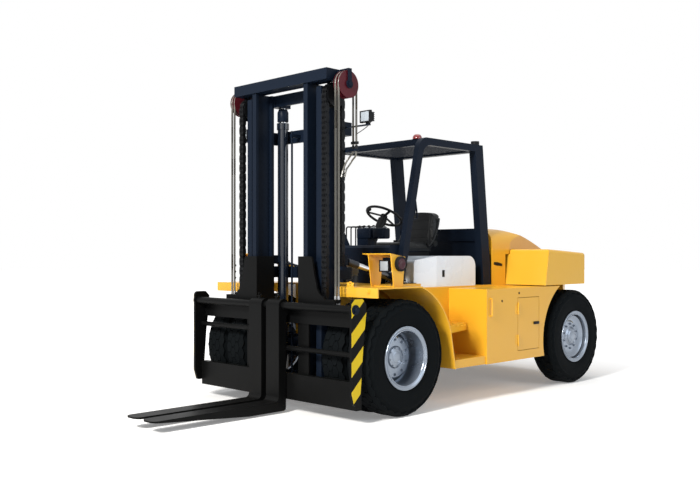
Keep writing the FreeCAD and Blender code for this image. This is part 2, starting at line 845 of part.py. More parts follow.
def mast_outer():
    rails = mirror_body(
        plate_z(
            rail_foot, outer_mast_height,
            channel(outer_rail_face, outer_rail_reach, outer_rail_front),
        )
    )
    inside = outer_rail_face - outer_rail_reach
    ring = cylinder("X", inside, 0, tyre_radius, axle_tube_radius + 45, outer_rail_reach)
    arm = box(inside, outer_rail_face, outer_rail_rear, 0, tyre_radius - 90, tyre_radius + 90)
    bore = cylinder("X", inside - 5, 0, tyre_radius, axle_tube_radius + 1.5, outer_rail_reach + 10)
    clamp = cut(fuse(ring, arm), bore)
    ear_front, ear_back = outer_rail_rear, tilt_eye_radius - tilt_yoke_y
    low, high = tilt_yoke_z - tilt_eye_radius, tilt_yoke_z + tilt_eye_radius
    ears = [
        box(inside, inside + 14, ear_front, ear_back, low, high),
        box(outer_rail_face - 14, outer_rail_face, ear_front, ear_back, low, high),
        cylinder("X", inside, -tilt_yoke_y, tilt_yoke_z, tilt_pin_radius, outer_rail_reach),
    ]
    chain_rear = sheave_centre + sheave_radius
    anchor = box(
        outer_rail_face, chain_x + chain_width / 2 + 8, chain_rear - 9, chain_rear + chain_thickness + 9,
        chain_anchor_z - 30, chain_anchor_z,
    )
    hose_rear = pulley_centre + hose_wrap
    clamp_arm = box(
        outer_rail_face, hose_inner_x - 14, chain_rear + chain_thickness + 6, hose_rear + 17,
        hose_clamp_z - 20, hose_clamp_z,
    )
    clamp_block = box(
        hose_inner_x - 14, hose_outer_x + 14, hose_rear - 13, hose_rear + 17, hose_clamp_z - 20, hose_clamp_z
    )
    lamp_arm = box(outer_rail_face, lamp_x + 22, lamp_y - 16, lamp_y + 16, lamp_z - 70, lamp_z - 60)
    foot = box(
        cylinder_x - cylinder_radius - 14, cylinder_x + cylinder_radius + 14, outer_rail_rear + 3,
        tie_front, foot_top - 28, foot_top,
    )
    sides = [clamp, *ears, anchor, clamp_arm, clamp_block, lamp_arm, foot]
    pipe = cylinder("Z", -pipe_x, pipe_y, foot_top - 20, 10, tie_top - foot_top)
    clips = [
        box(-pipe_x - 14, -pipe_x + 14, pipe_y - 12, tie_front, z, z + 30)
        for z in (foot_top - 60, tie_top - 80)
    ]
    ties = tie(foot_top - 110, foot_top) + tie(
        tilt_yoke_z - 177, tilt_yoke_z - 67,
    ) + tie(tie_top - 120, tie_top)
    return piece(
        "mast_outer", fuse(rails, *ties, *sides, *[mirrored(item) for item in sides], pipe, *clips),
    )


def lift_barrels():
    barrel = cylinder("Z", cylinder_x, cylinder_y, foot_top, cylinder_radius, cylinder_top - foot_top)
    head = cylinder("Z", cylinder_x, cylinder_y, cylinder_top - 60, cylinder_radius + 8, 60)
    bore = cylinder("Z", cylinder_x, cylinder_y, foot_top + 30, cylinder_bore, cylinder_top)
    return piece("lift_barrels", both_sides(cut(fuse(barrel, head), bore)))


def mast_lamps():
    """Two square work lamps on the ends of the mast arms: a tapered body, a bezel in front and a foot."""
    bezel = box(lamp_x - 60, lamp_x + 60, lamp_y - 34, lamp_y - 10, lamp_z - 48, lamp_z + 56)
    can = box(lamp_x - 48, lamp_x + 48, lamp_y - 12, lamp_y + 30, lamp_z - 36, lamp_z + 44)
    foot = box(lamp_x - 14, lamp_x + 14, lamp_y - 12, lamp_y + 12, lamp_z - 60, lamp_z - 30)
    return piece("mast_lamps", both_sides(fuse(can, bezel, foot)))


def mast_inner():
    """Inner rails under a wide head beam that carries the chain sheaves and the hose pulleys."""
    rails = mirror_body(
        plate_z(rail_foot, beam_bottom, channel(inner_rail_face, inner_rail_reach, inner_rail_front))
    )
    beam = box(
        -top_beam_half, top_beam_half, beam_front, beam_front + top_beam_depth, beam_bottom,
        inner_mast_height,
    )
    head_plate = box(
        -inner_rail_face, inner_rail_face, inner_rail_rear, inner_rail_rear + 28, beam_bottom - 109, beam_bottom
    )
    low_tie = box(
        -inner_rail_face, inner_rail_face, inner_rail_rear, inner_rail_rear + 18, rail_foot + 20, rail_foot + 120
    )
    crown = box(
        cylinder_x - 50, cylinder_x + 50, inner_rail_rear + 28, cylinder_y + 55, beam_bottom - 109, beam_bottom - 70
    )
    half = chain_width / 2 + 8
    cheeks = [
        box(
            chain_x - half - 18, chain_x - half - 4, sheave_centre - 26, sheave_centre + 26,
            sheave_z - 45, beam_bottom,
        ),
        box(
            chain_x + half + 4, chain_x + half + 18, sheave_centre - 26, sheave_centre + 26,
            sheave_z - 45, beam_bottom,
        ),
    ]
    bracket = box(
        top_beam_half, top_beam_half + 12, beam_front + top_beam_depth - 16, pulley_centre + 30,
        pulley_z - 30, inner_mast_height - 10,
    )
    strap = box(
        top_beam_half, hose_outer_x + 32, pulley_centre - 20, pulley_centre + 20,
        inner_mast_height - 15, inner_mast_height - 5,
    )
    guard = box(
        hose_outer_x + 22, hose_outer_x + 32, pulley_centre - 20, pulley_centre + 20,
        pulley_z - 20, inner_mast_height - 5,
    )
    sides = [crown, *cheeks, bracket, strap, guard]
    return piece(
        "mast_inner",
        fuse(rails, beam, head_plate, low_tie, *sides, *[mirrored(item) for item in sides]),
    )


def lift_rods():
    bottom = cylinder_top - lift_stroke - 40
    return piece(
        "lift_rods",
        both_sides(
            cylinder("Z", cylinder_x, cylinder_y, bottom, rod_radius, beam_bottom - 109 - bottom)
        ),
    )


def mast_rollers():
    """Rollers on the inner rails that run in the channels of the outer ones."""
    rollers = []
    middle = outer_rail_front + rail_depth / 2
    for height in (rail_foot + 190, rail_foot + 760):
        stub = cylinder("X", inner_rail_face, middle, height, 26, 20)
        wheel = cylinder(
            "X", inner_rail_face + 15, middle, height, roller_radius,
            outer_rail_face - rail_web - 6 - inner_rail_face - 15,
        )
        rollers.append(fuse(stub, wheel))
    return piece("mast_rollers", group(*rollers, *[mirrored(item) for item in rollers]))


def sheave_outline(half, groove, flange, wall):
    """A grooved wheel about the X axis, with a bore for its pin."""
    return [
        (-half, sheave_bore), (half, sheave_bore), (half, flange), (half - wall, flange),
        (half - wall, groove), (wall - half, groove), (wall - half, flange), (-half, flange),
    ]


def chain_sheaves():
    wheel = turning(sheave_outline(chain_width / 2 + 8, sheave_radius - 0.4, sheave_flange, 7))
    place(wheel, chain_x, sheave_centre, sheave_z)
    pin = cylinder(
        "X", chain_x - chain_width / 2 - 12, sheave_centre, sheave_z, sheave_bore, chain_width + 24,
    )
    return piece("chain_sheaves", both_sides(fuse(wheel, pin)))


def hose_pulleys():
    half = (hose_outer_x - hose_inner_x) / 2 + 14
    groove = hose_wrap - hose_radius - 0.5
    middle = (hose_outer_x + hose_inner_x) / 2
    outline = [
        (-half, 16), (half, 16), (half, pulley_radius), (half - 3, pulley_radius), (half - 3, groove),
        (3, groove), (3, pulley_radius), (-3, pulley_radius), (-3, groove),
        (3 - half, groove), (3 - half, pulley_radius), (-half, pulley_radius),
    ]
    wheel = turning(outline)
    place(wheel, middle, pulley_centre, pulley_z)
    start = top_beam_half + 12
    pin = cylinder("X", start, pulley_centre, pulley_z, 16, hose_outer_x + 22 - start)
    return piece("hose_pulleys", both_sides(fuse(wheel, pin)))


def half_ring(x0, x1, centre_y, centre_z, inner, outer):
    ring = cut(
        cylinder("X", x0, centre_y, centre_z, outer, as_size(x1) - x0),
        cylinder("X", x0 - 1, centre_y, centre_z, inner, as_size(x1) - x0 + 2),
    )
    upper = box(x0, x1, centre_y - outer, centre_y + outer, centre_z, centre_z + outer + 1)
    return add("Part::Common", "Upper", Base=ring, Tool=upper)


def chains():
    """Each lift chain in three stretches: down to the carriage, over its sheave, and down to the outer mast."""
    x0, x1 = chain_x - chain_width / 2, chain_x + chain_width / 2
    outer = sheave_radius + chain_thickness
    front = box(
        x0, x1, sheave_centre - outer, sheave_centre - sheave_radius, carriage_anchor_z, sheave_z,
    )
    rear = box(x0, x1, sheave_centre + sheave_radius, sheave_centre + outer, chain_anchor_z, sheave_z)
    piece("chain_front_runs", both_sides(front))
    piece("chain_rear_runs", both_sides(rear))
    piece("chain_bends", both_sides(half_ring(x0, x1, sheave_centre, sheave_z, sheave_radius, outer)))


def hoses():
    """Two hoses a side go from the carriage over a pulley and down to a clamp on the outer mast."""
    front, rear, bends = [], [], []
    for x in (hose_inner_x, hose_outer_x):
        front.append(
            cylinder(
                "Z", x, pulley_centre - hose_wrap, hose_fitting_z, hose_radius,
                pulley_z - hose_fitting_z,
            )
        )
        rear.append(
            cylinder(
                "Z", x, pulley_centre + hose_wrap, hose_clamp_z, hose_radius,
                pulley_z - hose_clamp_z,
            )
        )
        ring = turned(torus(0, 0, 0, hose_wrap, hose_radius), "X")
        place(ring, x, pulley_centre, pulley_z)
        reach = hose_wrap + hose_radius + 1
        upper = box(
            x - 20, x + 20, pulley_centre - reach, pulley_centre + reach, pulley_z,
            pulley_z + reach,
        )
        bends.append(add("Part::Common", "Bend", Base=ring, Tool=upper))
    piece("hose_front_runs", group(*front, *[mirrored(item) for item in front]))
    piece("hose_rear_runs", group(*rear, *[mirrored(item) for item in rear]))
    piece("hose_bends", group(*bends, *[mirrored(item) for item in bends]))


# ---------------------------------------------------------------- carriage and forks
def carriage_frame():
    inside = carriage_half - side_plate
    edge = -side_plate_front
    back = side_plate_foot - side_plate_front
    ear = back + 56
    side = plate_x(
        inside,
        carriage_half,
        [
            (edge, side_plate_bottom + 100),
            (edge + 30, side_plate_bottom),
            (back - 22, side_plate_bottom),
            (back, side_plate_bottom + 230),
            (back + 22, side_plate_bottom + 498),
            (ear, side_plate_top - 111),
            (ear, side_plate_top - 44),
            (ear - 44, side_plate_top),
            (edge, side_plate_top),
        ],
    )
    round_off(side, 40, "X", (edge, side_plate_top))
    round_off(
        side, 20, "X", (edge + 30, side_plate_bottom), (back - 22, side_plate_bottom),
        (ear - 44, side_plate_top),
    )
    boss = cylinder("X", inside, shaft_y, shaft_z, shaft_radius + 14, side_plate)
    upper = box(-inside, inside, plate_rear - 15, face_rear, shaft_z - 158, shaft_z - 20)
    lower = box(
        -inside, inside, plate_front, plate_rear, side_plate_bottom - 48, side_plate_bottom + 182,
    )
    middle = box(-14, 14, plate_front - 15, plate_rear, side_plate_bottom + 182, shaft_z - 158)
    face = plate_y(
        plate_rear,
        face_rear,
        [
            (upright_inner, side_plate_bottom - 10),
            (upright_inner + 140, side_plate_bottom - 10),
            (upright_inner + 140, shaft_z - 158),
            (upright_inner + 342, shaft_z - 158),
            (upright_inner + 342, carriage_anchor_z + 5),
            (upright_inner + 328, carriage_anchor_z + 38),
            (upright_inner + 238, carriage_anchor_z + 145, 22),
            (upright_inner + 212, carriage_anchor_z + 227),
            (upright_inner + 186, upright_top - 40),
            (upright_inner + 150, upright_top, -11),
            (upright_inner, upright_top),
        ],
    )
    upright = box(
        upright_inner, upright_outer, face_rear, inner_rail_rear - 32, side_plate_bottom + 80,
        upright_top,
    )
    rollers = [
        cylinder(
            "X", upright_outer, inner_rail_front + rail_depth / 2, z, roller_radius,
            inner_rail_face - rail_web - 5 - upright_outer,
        )
        for z in (side_plate_bottom + 160, upright_top - 95)
    ]
    half = chain_width / 2 + 8
    anchor = box(
        chain_x - half, chain_x + half, face_rear, sheave_centre - sheave_radius + 3,
        carriage_anchor_z - 40, carriage_anchor_z,
    )
    hose_front = pulley_centre - hose_wrap
    arm = box(
        upright_inner + 342, hose_outer_x + 14, plate_rear, face_rear, hose_fitting_z - 60,
        hose_fitting_z,
    )
    block = box(
        hose_inner_x - 14, hose_outer_x + 14, face_rear, hose_front + 13, hose_fitting_z - 30,
        hose_fitting_z,
    )
    sides = [side, boss, face, upright, *rollers, anchor, arm, block]
    return piece(
        "carriage_frame", fuse(upper, lower, middle, *sides, *[mirrored(item) for item in sides]),
    )


def carriage_shafts():
    """The round bar that the forks hang on, and one guide bar for each fork."""
    inside = carriage_half - side_plate
    top = cylinder("X", -inside, shaft_y, shaft_z, shaft_radius, inside * 2)
    left = cylinder("X", 14, guide_y, left_guide_z, guide_radius, inside - 14)
    right = cylinder("X", -inside, guide_y, right_guide_z, guide_radius, inside - 14)
    return piece("carriage_shafts", group(top, left, right))


def forks():
    """Forged L shapes that taper to a thin tip, with an eye round the shaft and a saddle on the guide bar."""
    front = -front_overhang
    top = fork_bottom + fork_thickness
    head_back = front + hook_radius * 2
    tip = front - fork_length
    quarter = hook_radius * (1 - math.sqrt(0.5))
    for name, side, guide_z in (("left", 1, left_guide_z), ("right", -1, right_guide_z)):
        x0 = fork_gap / 2 if side > 0 else -fork_gap / 2 - fork_width
        x1 = x0 + fork_width
        body = plate_x(
            x0,
            x1,
            [
                (fork_back, fork_bottom),
                (fork_back, shaft_z - hook_radius * 2),
                (head_back, shaft_z - hook_radius),
                (head_back, shaft_z),
                (shaft_y, shaft_z + hook_radius, -quarter),
                (front, shaft_z, -quarter),
                (front, top),
                (tip, top),
                (tip, top - fork_tip_thickness),
                (front - 330, fork_bottom),
            ],
        )
        round_off(body, fork_thickness * 0.35, "X", (fork_back, fork_bottom))
        round_off(body, 45, "X", (front, top))
        round_off(body, 55, "Z", (x0, tip), (x1, tip))
        eye = cylinder("X", x0 - 5, shaft_y, shaft_z, shaft_radius + 0.5, fork_width + 10)
        lug = box(x0 + 30, x1 - 30, fork_back, guide_y + 20, guide_z - 45, guide_z + 45)
        slot = cylinder("X", x0 - 5, guide_y, guide_z, guide_radius + 0.5, fork_width + 10)
        piece(f"{name}_fork", cut(fuse(body, lug), eye, slot))


# ---------------------------------------------------------------- tilt cylinders
def tilt_cylinders():
    """Barrels pinned to the frame and rods pinned to the mast, modelled along -Y and then leaned."""
    half = tilt_eye_width / 2
    gland = tilt_barrel_length - 40
    barrel = turned(add("Part::Cylinder", "Round"), "Y")
    bind(barrel, "Radius", tilt_barrel_radius)
    bind(barrel, "Height", tilt_barrel_length - 60)
    place(barrel, tilt_x, -tilt_barrel_length, 0)
    ring = cylinder(
        "Y", tilt_x, -tilt_barrel_length, 0, tilt_barrel_radius + 4, tilt_barrel_length - gland,
    )
    neck = box(tilt_x - half, tilt_x + half, -70, 0, -tilt_eye_radius + 8, tilt_eye_radius - 8)
    eye = cylinder("X", tilt_x - half, 0, 0, tilt_eye_radius, tilt_eye_width)
    bore = cylinder("Y", tilt_x, -tilt_barrel_length - 5, 0, tilt_barrel_bore, tilt_barrel_length - 70)
    hole = cylinder("X", tilt_x - half - 5, 0, 0, tilt_pin_radius + 0.5, tilt_eye_width + 10)
    pair = both_sides(cut(fuse(barrel, ring, neck, eye), bore, hole))
    piece("tilt_barrels", group(leaned(pair, -tilt_slope, 0, tilt_anchor_y, tilt_anchor_z)))
    rod = cylinder("Y", tilt_x, -tilt_length, 0, tilt_rod_radius, tilt_length - tilt_rod_tail)
    end = cylinder("X", tilt_x - half, -tilt_length, 0, tilt_eye_radius - 3, tilt_eye_width)
    wide = cylinder("X", tilt_x - half - 5, -tilt_length, 0, tilt_pin_radius + 6, tilt_eye_width + 10)
    neck = cylinder("Y", tilt_x, -tilt_length, 0, half - 2, tilt_eye_radius + 30)
    trim = cut(fuse(neck, end), wide)
    collar = tilt_eye_radius + 22
    shank = cut(rod, box(tilt_x - 60, tilt_x + 60, -tilt_length - 60, collar - tilt_length, -60, 60))
    sleeve = cylinder(
        "Y", tilt_x, collar - tilt_length, 0, tilt_rod_radius + 5, tilt_end_length - collar,
    )
    rods = both_sides(fuse(shank, sleeve, trim))
    piece("tilt_rods", group(leaned(rods, -tilt_slope, 0, tilt_anchor_y, tilt_anchor_z)))


# ---------------------------------------------------------------- frame and body panels
def main_frame():
    inside = frame_half - frame_plate
    upper = deck_bottom
    pad_top = tyre_radius + 116
    side = plate_x(
        inside,
        frame_half,
        [
            (frame_front, pad_top),
            (frame_front + 180, pad_top),
            (frame_front + 360, frame_bottom),
            (frame_rear - 290, frame_bottom),
            (frame_rear - 110, frame_tail_bottom),
            (frame_rear, frame_tail_bottom),
            (frame_rear, frame_top),
            (seat_hood_front - 17, frame_top),
            (seat_hood_front - 17, upper),
            (frame_front, upper),
        ],
    )
    front = box(-inside, inside, frame_front, frame_front + 20, tyre_radius + diff_radius + 16, upper)
    rear = box(-inside, inside, frame_rear - 20, frame_rear, frame_tail_bottom, frame_top)
    beds = [
        box(-inside, inside, y, y + 60, frame_bottom, frame_bottom + 30)
        for y in (engine_front + 50, engine_rear - 110)
    ]
    tail = box(
        frame_half / 2, frame_half / 2 + 80, frame_rear, wheelbase + 200, frame_tail_bottom,
        frame_tail_bottom + 140,
    )
    arms = [
        box(frame_half, box_inner, y, y + 60, 560, 760)
        for y in (box_front - 370, box_front + 30, box_front + 830)
    ]
    low = outer_rail_face - outer_rail_reach
    beam = box(
        frame_half, outer_rail_face, tilt_anchor_y - 45, tilt_anchor_y + 45, frame_top - 30,
        frame_top,
    )
    ears = [
        box(low, low + 14, tilt_anchor_y - 36, tilt_anchor_y + 36, frame_top, tilt_anchor_z + 36),
        box(
            outer_rail_face - 14, outer_rail_face, tilt_anchor_y - 36, tilt_anchor_y + 36,
            frame_top, tilt_anchor_z + 36,
        ),
        cylinder("X", low, tilt_anchor_y, tilt_anchor_z, tilt_pin_radius, outer_rail_reach),
    ]
    sides = [side, tail, *arms, beam, *ears]
    return piece("main_frame", fuse(front, rear, *beds, *sides, *[mirrored(item) for item in sides]))


def engine_block():
    bottom = frame_bottom + 30
    return piece(
        "engine_block",
        box(-engine_half, engine_half, engine_front, engine_rear, bottom, frame_top - engine_clearance),
    )


def fender_curve(radius, deck):
    """Where a curve round the front tyres leaves the level deck, and where it turns into the straight foot."""
    start = (root(radius * radius - (deck - tyre_radius) * (deck - tyre_radius)), deck)
    knee = tyre_radius + 185
    end = (root(radius * radius - (knee - tyre_radius) * (knee - tyre_radius)), knee)
    return start, end, arc_rise(radius, start, end)


def front_fenders():
    """Each is one bent sheet: a lip in front, a level deck, a curve round the tyre and a straight foot."""
    start, end, rise = fender_curve(fender_radius, deck_top)
    inner_start, inner_end, inner_rise = fender_curve(fender_radius - deck_plate, deck_bottom)
    lip = deck_top - 85
    sheet = plate_x(
        fender_inner,
        body_half,
        [
            (-deck_front, lip),
            (-deck_front, deck_top),
            start,
            (*end, rise),
            (fender_foot_y, fender_foot_z),
            (fender_foot_y - deck_plate, fender_foot_z),
            inner_end,
            (*inner_start, -inner_rise),
            (deck_plate - deck_front, deck_bottom),
            (deck_plate - deck_front, lip),
        ],
    )
    valance = box(
        fender_inner, fender_inner + 8, deck_plate - deck_front, frame_front, lip, deck_bottom,
    )
    notch = box(
        fender_inner - 1, fender_inner + fender_notch, -deck_front - 1, fender_notch_depth - deck_front,
        lip - 1, deck_top + 1,
    )
    side = cut(fuse(sheet, valance), notch)
    return piece("front_fenders", both_sides(side))


def floor_plate():
    """The level plate between the fenders, notched round the ears of the tilt cylinders."""
    start = fender_curve(fender_radius, deck_top)[0]
    wide = box_inner + box_wall
    edge = start[0] + 45
    low = outer_rail_face - outer_rail_reach
    plate = plate_z(
        deck_bottom,
        deck_top,
        [
            (-fender_inner, frame_front),
            (fender_inner, frame_front),
            (fender_inner, edge),
            (wide, edge),
            (wide, seat_hood_front),
            (-wide, seat_hood_front),
            (-wide, edge),
            (-fender_inner, edge),
        ],
    )
    notch = box(
        low - 10, outer_rail_face + 10, tilt_anchor_y - 60, tilt_anchor_y + 60, deck_bottom - 5,
        deck_top + 5,
    )
    return piece("floor_plate", cut(plate, notch, mirrored(notch)))


def main_deck():
    wide = box_inner
    return piece(
        "main_deck", box(-wide, wide, seat_hood_front, hood_front - 5, frame_top, frame_top + 15),
    )


def steps():
    """The inner wall of each step recess with its two treads, which are pans turned down."""
    clearance = 2
    start, end, rise = fender_curve(fender_radius + clearance, deck_bottom)
    wall = plate_x(
        box_inner,
        box_inner + box_wall,
        [
            (fender_foot_y + clearance, fender_foot_z),
            (box_front, fender_foot_z),
            (box_front, frame_top),
            (seat_hood_front, frame_top),
            (seat_hood_front, deck_bottom),
            start,
            (*end, rise),
        ],
    )
    x0 = box_inner + box_wall
    near = fender_foot_y + 6
    low = box(x0, body_half - 12, near, box_front, box_bottom + 3, box_bottom + 81)
    low_pan = box(x0 + 8, body_half - 20, near + 8, box_front - 8, box_bottom, box_bottom + 73)
    upper_z = box_bottom + 321
    high = plate_z(
        upper_z,
        upper_z + 70,
        [(x0, near - 40), (step_front_reach, near - 40), (step_rear_reach, box_front), (x0, box_front)],
    )
    high_pan = plate_z(
        upper_z - 2,
        upper_z + 62,
        [
            (x0 + 8, near - 32), (step_front_reach - 10, near - 32),
            (step_rear_reach - 10, box_front - 8), (x0 + 8, box_front - 8),
        ],
    )
    return piece("steps", both_sides(fuse(wall, cut(low, low_pan), cut(high, high_pan))))


def box_outline(offset):
    """The side of the box behind the steps, hollowed at the back by the rear wheel's arch."""
    radius = arch_radius + offset
    low, high = box_bottom + offset, frame_top - offset
    foot = wheelbase - root(radius * radius - (tyre_radius - low) * (tyre_radius - low))
    head = wheelbase - root(radius * radius - (high - tyre_radius) * (high - tyre_radius))
    return [
        (box_front + offset, low),
        (foot, low),
        (head, high, arc_rise(radius, (foot, low), (head, high))),
        (box_front + offset, high),
    ]


def side_boxes():
    """Closed sheet boxes on both sides; the left one has the opening and hinge pins of its door."""
    hollow = plate_x(box_inner + box_wall, body_half - box_wall, box_outline(box_wall))
    shell = plate_x(box_inner, body_half, box_outline(0))
    right = mirrored(cut(shell, hollow))
    piece("right_side_box", group(right))
    hollow = plate_x(box_inner + box_wall, body_half - box_wall, box_outline(box_wall))
    shell = plate_x(box_inner, body_half, box_outline(0))
    opening = box(
        body_half - box_wall - 1, body_half + 1, door_front - door_gap, door_front + door_width + door_gap,
        door_bottom - door_gap, door_bottom + door_height + door_gap,
    )
    leaves = []
    for height in hinge_heights():
        leaves.append(
            fuse(
                box(
                    body_half, body_half + 3, door_front - 38, door_front - 10, height - 45,
                    height + 45,
                ),
                box(body_half, body_half + 3, door_front - 12, hinge_y, height - 45, height - 25),
                box(body_half, body_half + 3, door_front - 12, hinge_y, height + 25, height + 45),
                cylinder("Z", hinge_x, hinge_y, height - 45, 7, 20),
                cylinder("Z", hinge_x, hinge_y, height + 25, 7, 20),
                cylinder("Z", hinge_x, hinge_y, height - 45, 3, 90),
            )
        )
    return piece("left_side_box", fuse(cut(shell, hollow, opening), *leaves))


def hinge_heights():
    return [door_bottom + 113, door_bottom + door_height - 117]


def side_door():
    """A flat sheet door with two hinge barrels and a shallow pocket for its latch."""
    panel = box(
        body_half - box_wall, body_half, door_front, door_front + door_width, door_bottom, door_bottom + door_height
    )
    barrels, bores = [], []
    for height in hinge_heights():
        barrels.append(cylinder("Z", hinge_x, hinge_y, height - 24, 7, 48))
        barrels.append(
            box(body_half - 1, body_half + 3, hinge_y, door_front + 25, height - 24, height + 24)
        )
        bores.append(cylinder("Z", hinge_x, hinge_y, height - 30, 3.5, 60))
    pocket = box(
        body_half - 4, body_half + 1, door_front + door_width - 80, door_front + door_width - 20,
        door_bottom + 245, door_bottom + 277,
    )
    return piece("left_side_door", cut(fuse(panel, *barrels), *bores, pocket))


def grab_handles():
    """An upright bar on each side box, on two short feet."""
    parts = []
    x = body_half + 20
    y = box_front + 60
    bar = cylinder("Z", x, y, frame_top - 262, 8, 175)
    feet = [cylinder("X", body_half, y, z, 8, 20) for z in (frame_top - 252, frame_top - 97)]
    return piece("grab_handles", both_sides(fuse(bar, *feet)))


# ---------------------------------------------------------------- operator's place
def seat_hood_body(offset):
    half = hood_half - offset
    front, rear = seat_hood_front + offset, seat_hood_rear - offset
    low, high = frame_top + 15, seat_hood_top - offset
    body = plate_x(
        -half,
        half,
        [(front, low), (rear, low), (rear, high), (front + 300, high), (front, high - 42)],
    )
    round_off(body, 110 - offset, "X", (rear, high))
    round_off(body, 40 - offset, "X", (front, high - 42))
    plan = plate_z(
        low,
        high,
        [
            (40 - half, front),
            (half - 40, front),
            (half, front + 300),
            (half, rear),
            (-half, rear),
            (-half, front + 300),
        ],
    )
    return add("Part::Common", "Cover", Base=body, Tool=plan)


def seat_hood():
    """The pale cover under the seat, a shell that is open below."""
    inner = seat_hood_body(hood_sheet)
    return piece("seat_hood", cut(seat_hood_body(0), inner))


def cowl():
    """The dash in front of the driver: a wall between the guard's legs, a raised end on the right and a pod."""
    reach = guard_half - guard_leg_width
    dash = plate_x(
        -reach,
        reach,
        [
            (cowl_front + 20, cowl_low),
            (cowl_front + 90, cowl_low),
            (cowl_front + 130, cowl_top - 95),
            (cowl_rear - 20, cowl_top - 75),
            (cowl_rear, cowl_top - 50),
            (cowl_rear, cowl_top),
            (cowl_front + 20, cowl_top),
            (cowl_front, cowl_top - 25),
        ],
    )
    round_off(dash, 15, "X", (cowl_front + 20, cowl_top), (cowl_rear, cowl_top))
    pedestal = box(110, cowl_half, cowl_front + 30, cowl_front + 80, deck_top, cowl_low + 20)
    raised = plate_y(
        cowl_front + 20,
        cowl_front + 130,
        [
            (-reach + 60, cowl_top - 30),
            (-105, cowl_top - 30),
            (-105, cowl_top),
            (-190, cowl_top + 145),
            (-reach + 80, cowl_top + 145),
        ],
    )
    pod = plate_x(
        -75,
        75,
        [
            (cowl_rear - 100, cowl_top - 60),
            (cowl_rear, cowl_top - 60),
            (cowl_rear - 5, cowl_top + 35),
            (cowl_rear - 70, cowl_top + 110),
            (cowl_rear - 100, cowl_top + 100),
        ],
    )
    column = leaned(cylinder("Z", 0, 0, -900, 50, 890), -column_lean, 0, wheel_y, wheel_z)
    return piece("cowl", cut(fuse(dash, pedestal, mirrored(pedestal), raised, pod), column))


def steering_column():
    """A leaned tube that rises from a boot on the floor to the steering wheel."""
    length = (wheel_z - deck_top) / cosine(column_lean)
    tube = cylinder("Z", 0, 0, -length, 30, length - 20.3)
    shroud = cylinder("Z", 0, 0, -240, 46, 200)
    column = leaned(fuse(tube, shroud), -column_lean, 0, wheel_y, wheel_z)
    foot_y = wheel_y - length * sine(column_lean)
    boot = add("Part::Cone", "Boot")
    bind(boot, "Radius1", 75)
    bind(boot, "Radius2", 45)
    bind(boot, "Height", 70)
    place(boot, 0, foot_y, deck_top)
    below = box(-200, 200, foot_y - 200, foot_y + 200, deck_top - 200, deck_top)
    return piece("steering_column", cut(fuse(column, boot), below))


def steering_wheel():
    """A rim on three spokes with a hub, about a leaned axis."""
    rim = torus(0, 0, 0, wheel_ring, wheel_grip)
    hub = cylinder("Z", 0, 0, -20, 34, 30)
    spokes = []
    for angle in (90, 210, 330):
        spoke = add("Part::Box", "Spoke")
        bind(spoke, "Length", wheel_ring)
        bind(spoke, "Width", 26)
        bind(spoke, "Height", 9)
        turn = FreeCAD.Rotation(FreeCAD.Vector(0, 0, 1), angle)
        shift = turn.multVec(FreeCAD.Vector(0, -13, -6))
        spoke.Placement = FreeCAD.Placement(shift, turn)
        spokes.append(spoke)
    wheel = fuse(rim, hub, *spokes)
    return piece("steering_wheel", group(leaned(wheel, -column_lean, 0, wheel_y, wheel_z)))


def control_levers():
    """Four hydraulic levers that rise from the dash, bend back toward the driver and end in knobs."""
    levers = []
    height = wheel_z - 110
    bend = 26
    foot = cowl_rear - 28
    for index in range(4):
        x = -300 + 67 * index
        upright = cylinder("Z", x, foot, cowl_top, 7, height - bend - cowl_top)
        arm = cylinder("Y", x, foot + bend, height, 7, 160)
        elbow = add("Part::Torus", "Elbow", Angle3=90)
        bind(elbow, "Radius1", bend)
        bind(elbow, "Radius2", 7)
        quarter = FreeCAD.Rotation(FreeCAD.Vector(0, 0, 1), 270)
        elbow.Placement = FreeCAD.Placement(
            FreeCAD.Vector(), FreeCAD.Rotation(FreeCAD.Vector(0, 1, 0), -90).multiply(quarter)
        )
        place(elbow, x, foot + bend, height - bend)
        knob = add("Part::Sphere", "Knob")
        bind(knob, "Radius", 20)
        place(knob, x, foot + bend + 170, height)
        levers.append(fuse(upright, elbow, arm, knob))
    return piece("control_levers", group(*levers))


def seat():
    """A cushion and a crowned backrest on a low base."""
    half = seat_half
    top = seat_hood_top
    piece("seat_base", box(-half + 30, half - 30, seat_front + 80, seat_front + 430, top, top + 40))
    cushion = plate_x(
        -half,
        half,
        [
            (seat_front, top + 40),
            (seat_front + 450, top + 40),
            (seat_front + 450, top + 135),
            (seat_front, top + 150),
        ],
    )
    round_off(cushion, 35, "X", (seat_front, top + 150), (seat_front, top + 40))
    piece("seat_cushion", cushion)
    lean = plate_x(
        -half,
        half,
        [
            (seat_front + 450, top + 95),
            (seat_front + 550, top + 85),
            (seat_front + 615, top + 440),
            (seat_front + 590, top + 470),
            (seat_front + 510, top + 475),
        ],
    )
    crown = plate_y(
        seat_front + 440,
        seat_front + 625,
        [
            (-half + 12, top + 80),
            (half - 12, top + 80),
            (half, top + 200),
            (half - 22, top + 410),
            (half - 90, top + 465, -18),
            (90 - half, top + 465, -10),
            (22 - half, top + 410, -18),
            (-half, top + 200),
        ],
    )
    return piece("seat_back", group(add("Part::Common", "Backrest", Base=lean, Tool=crown)))


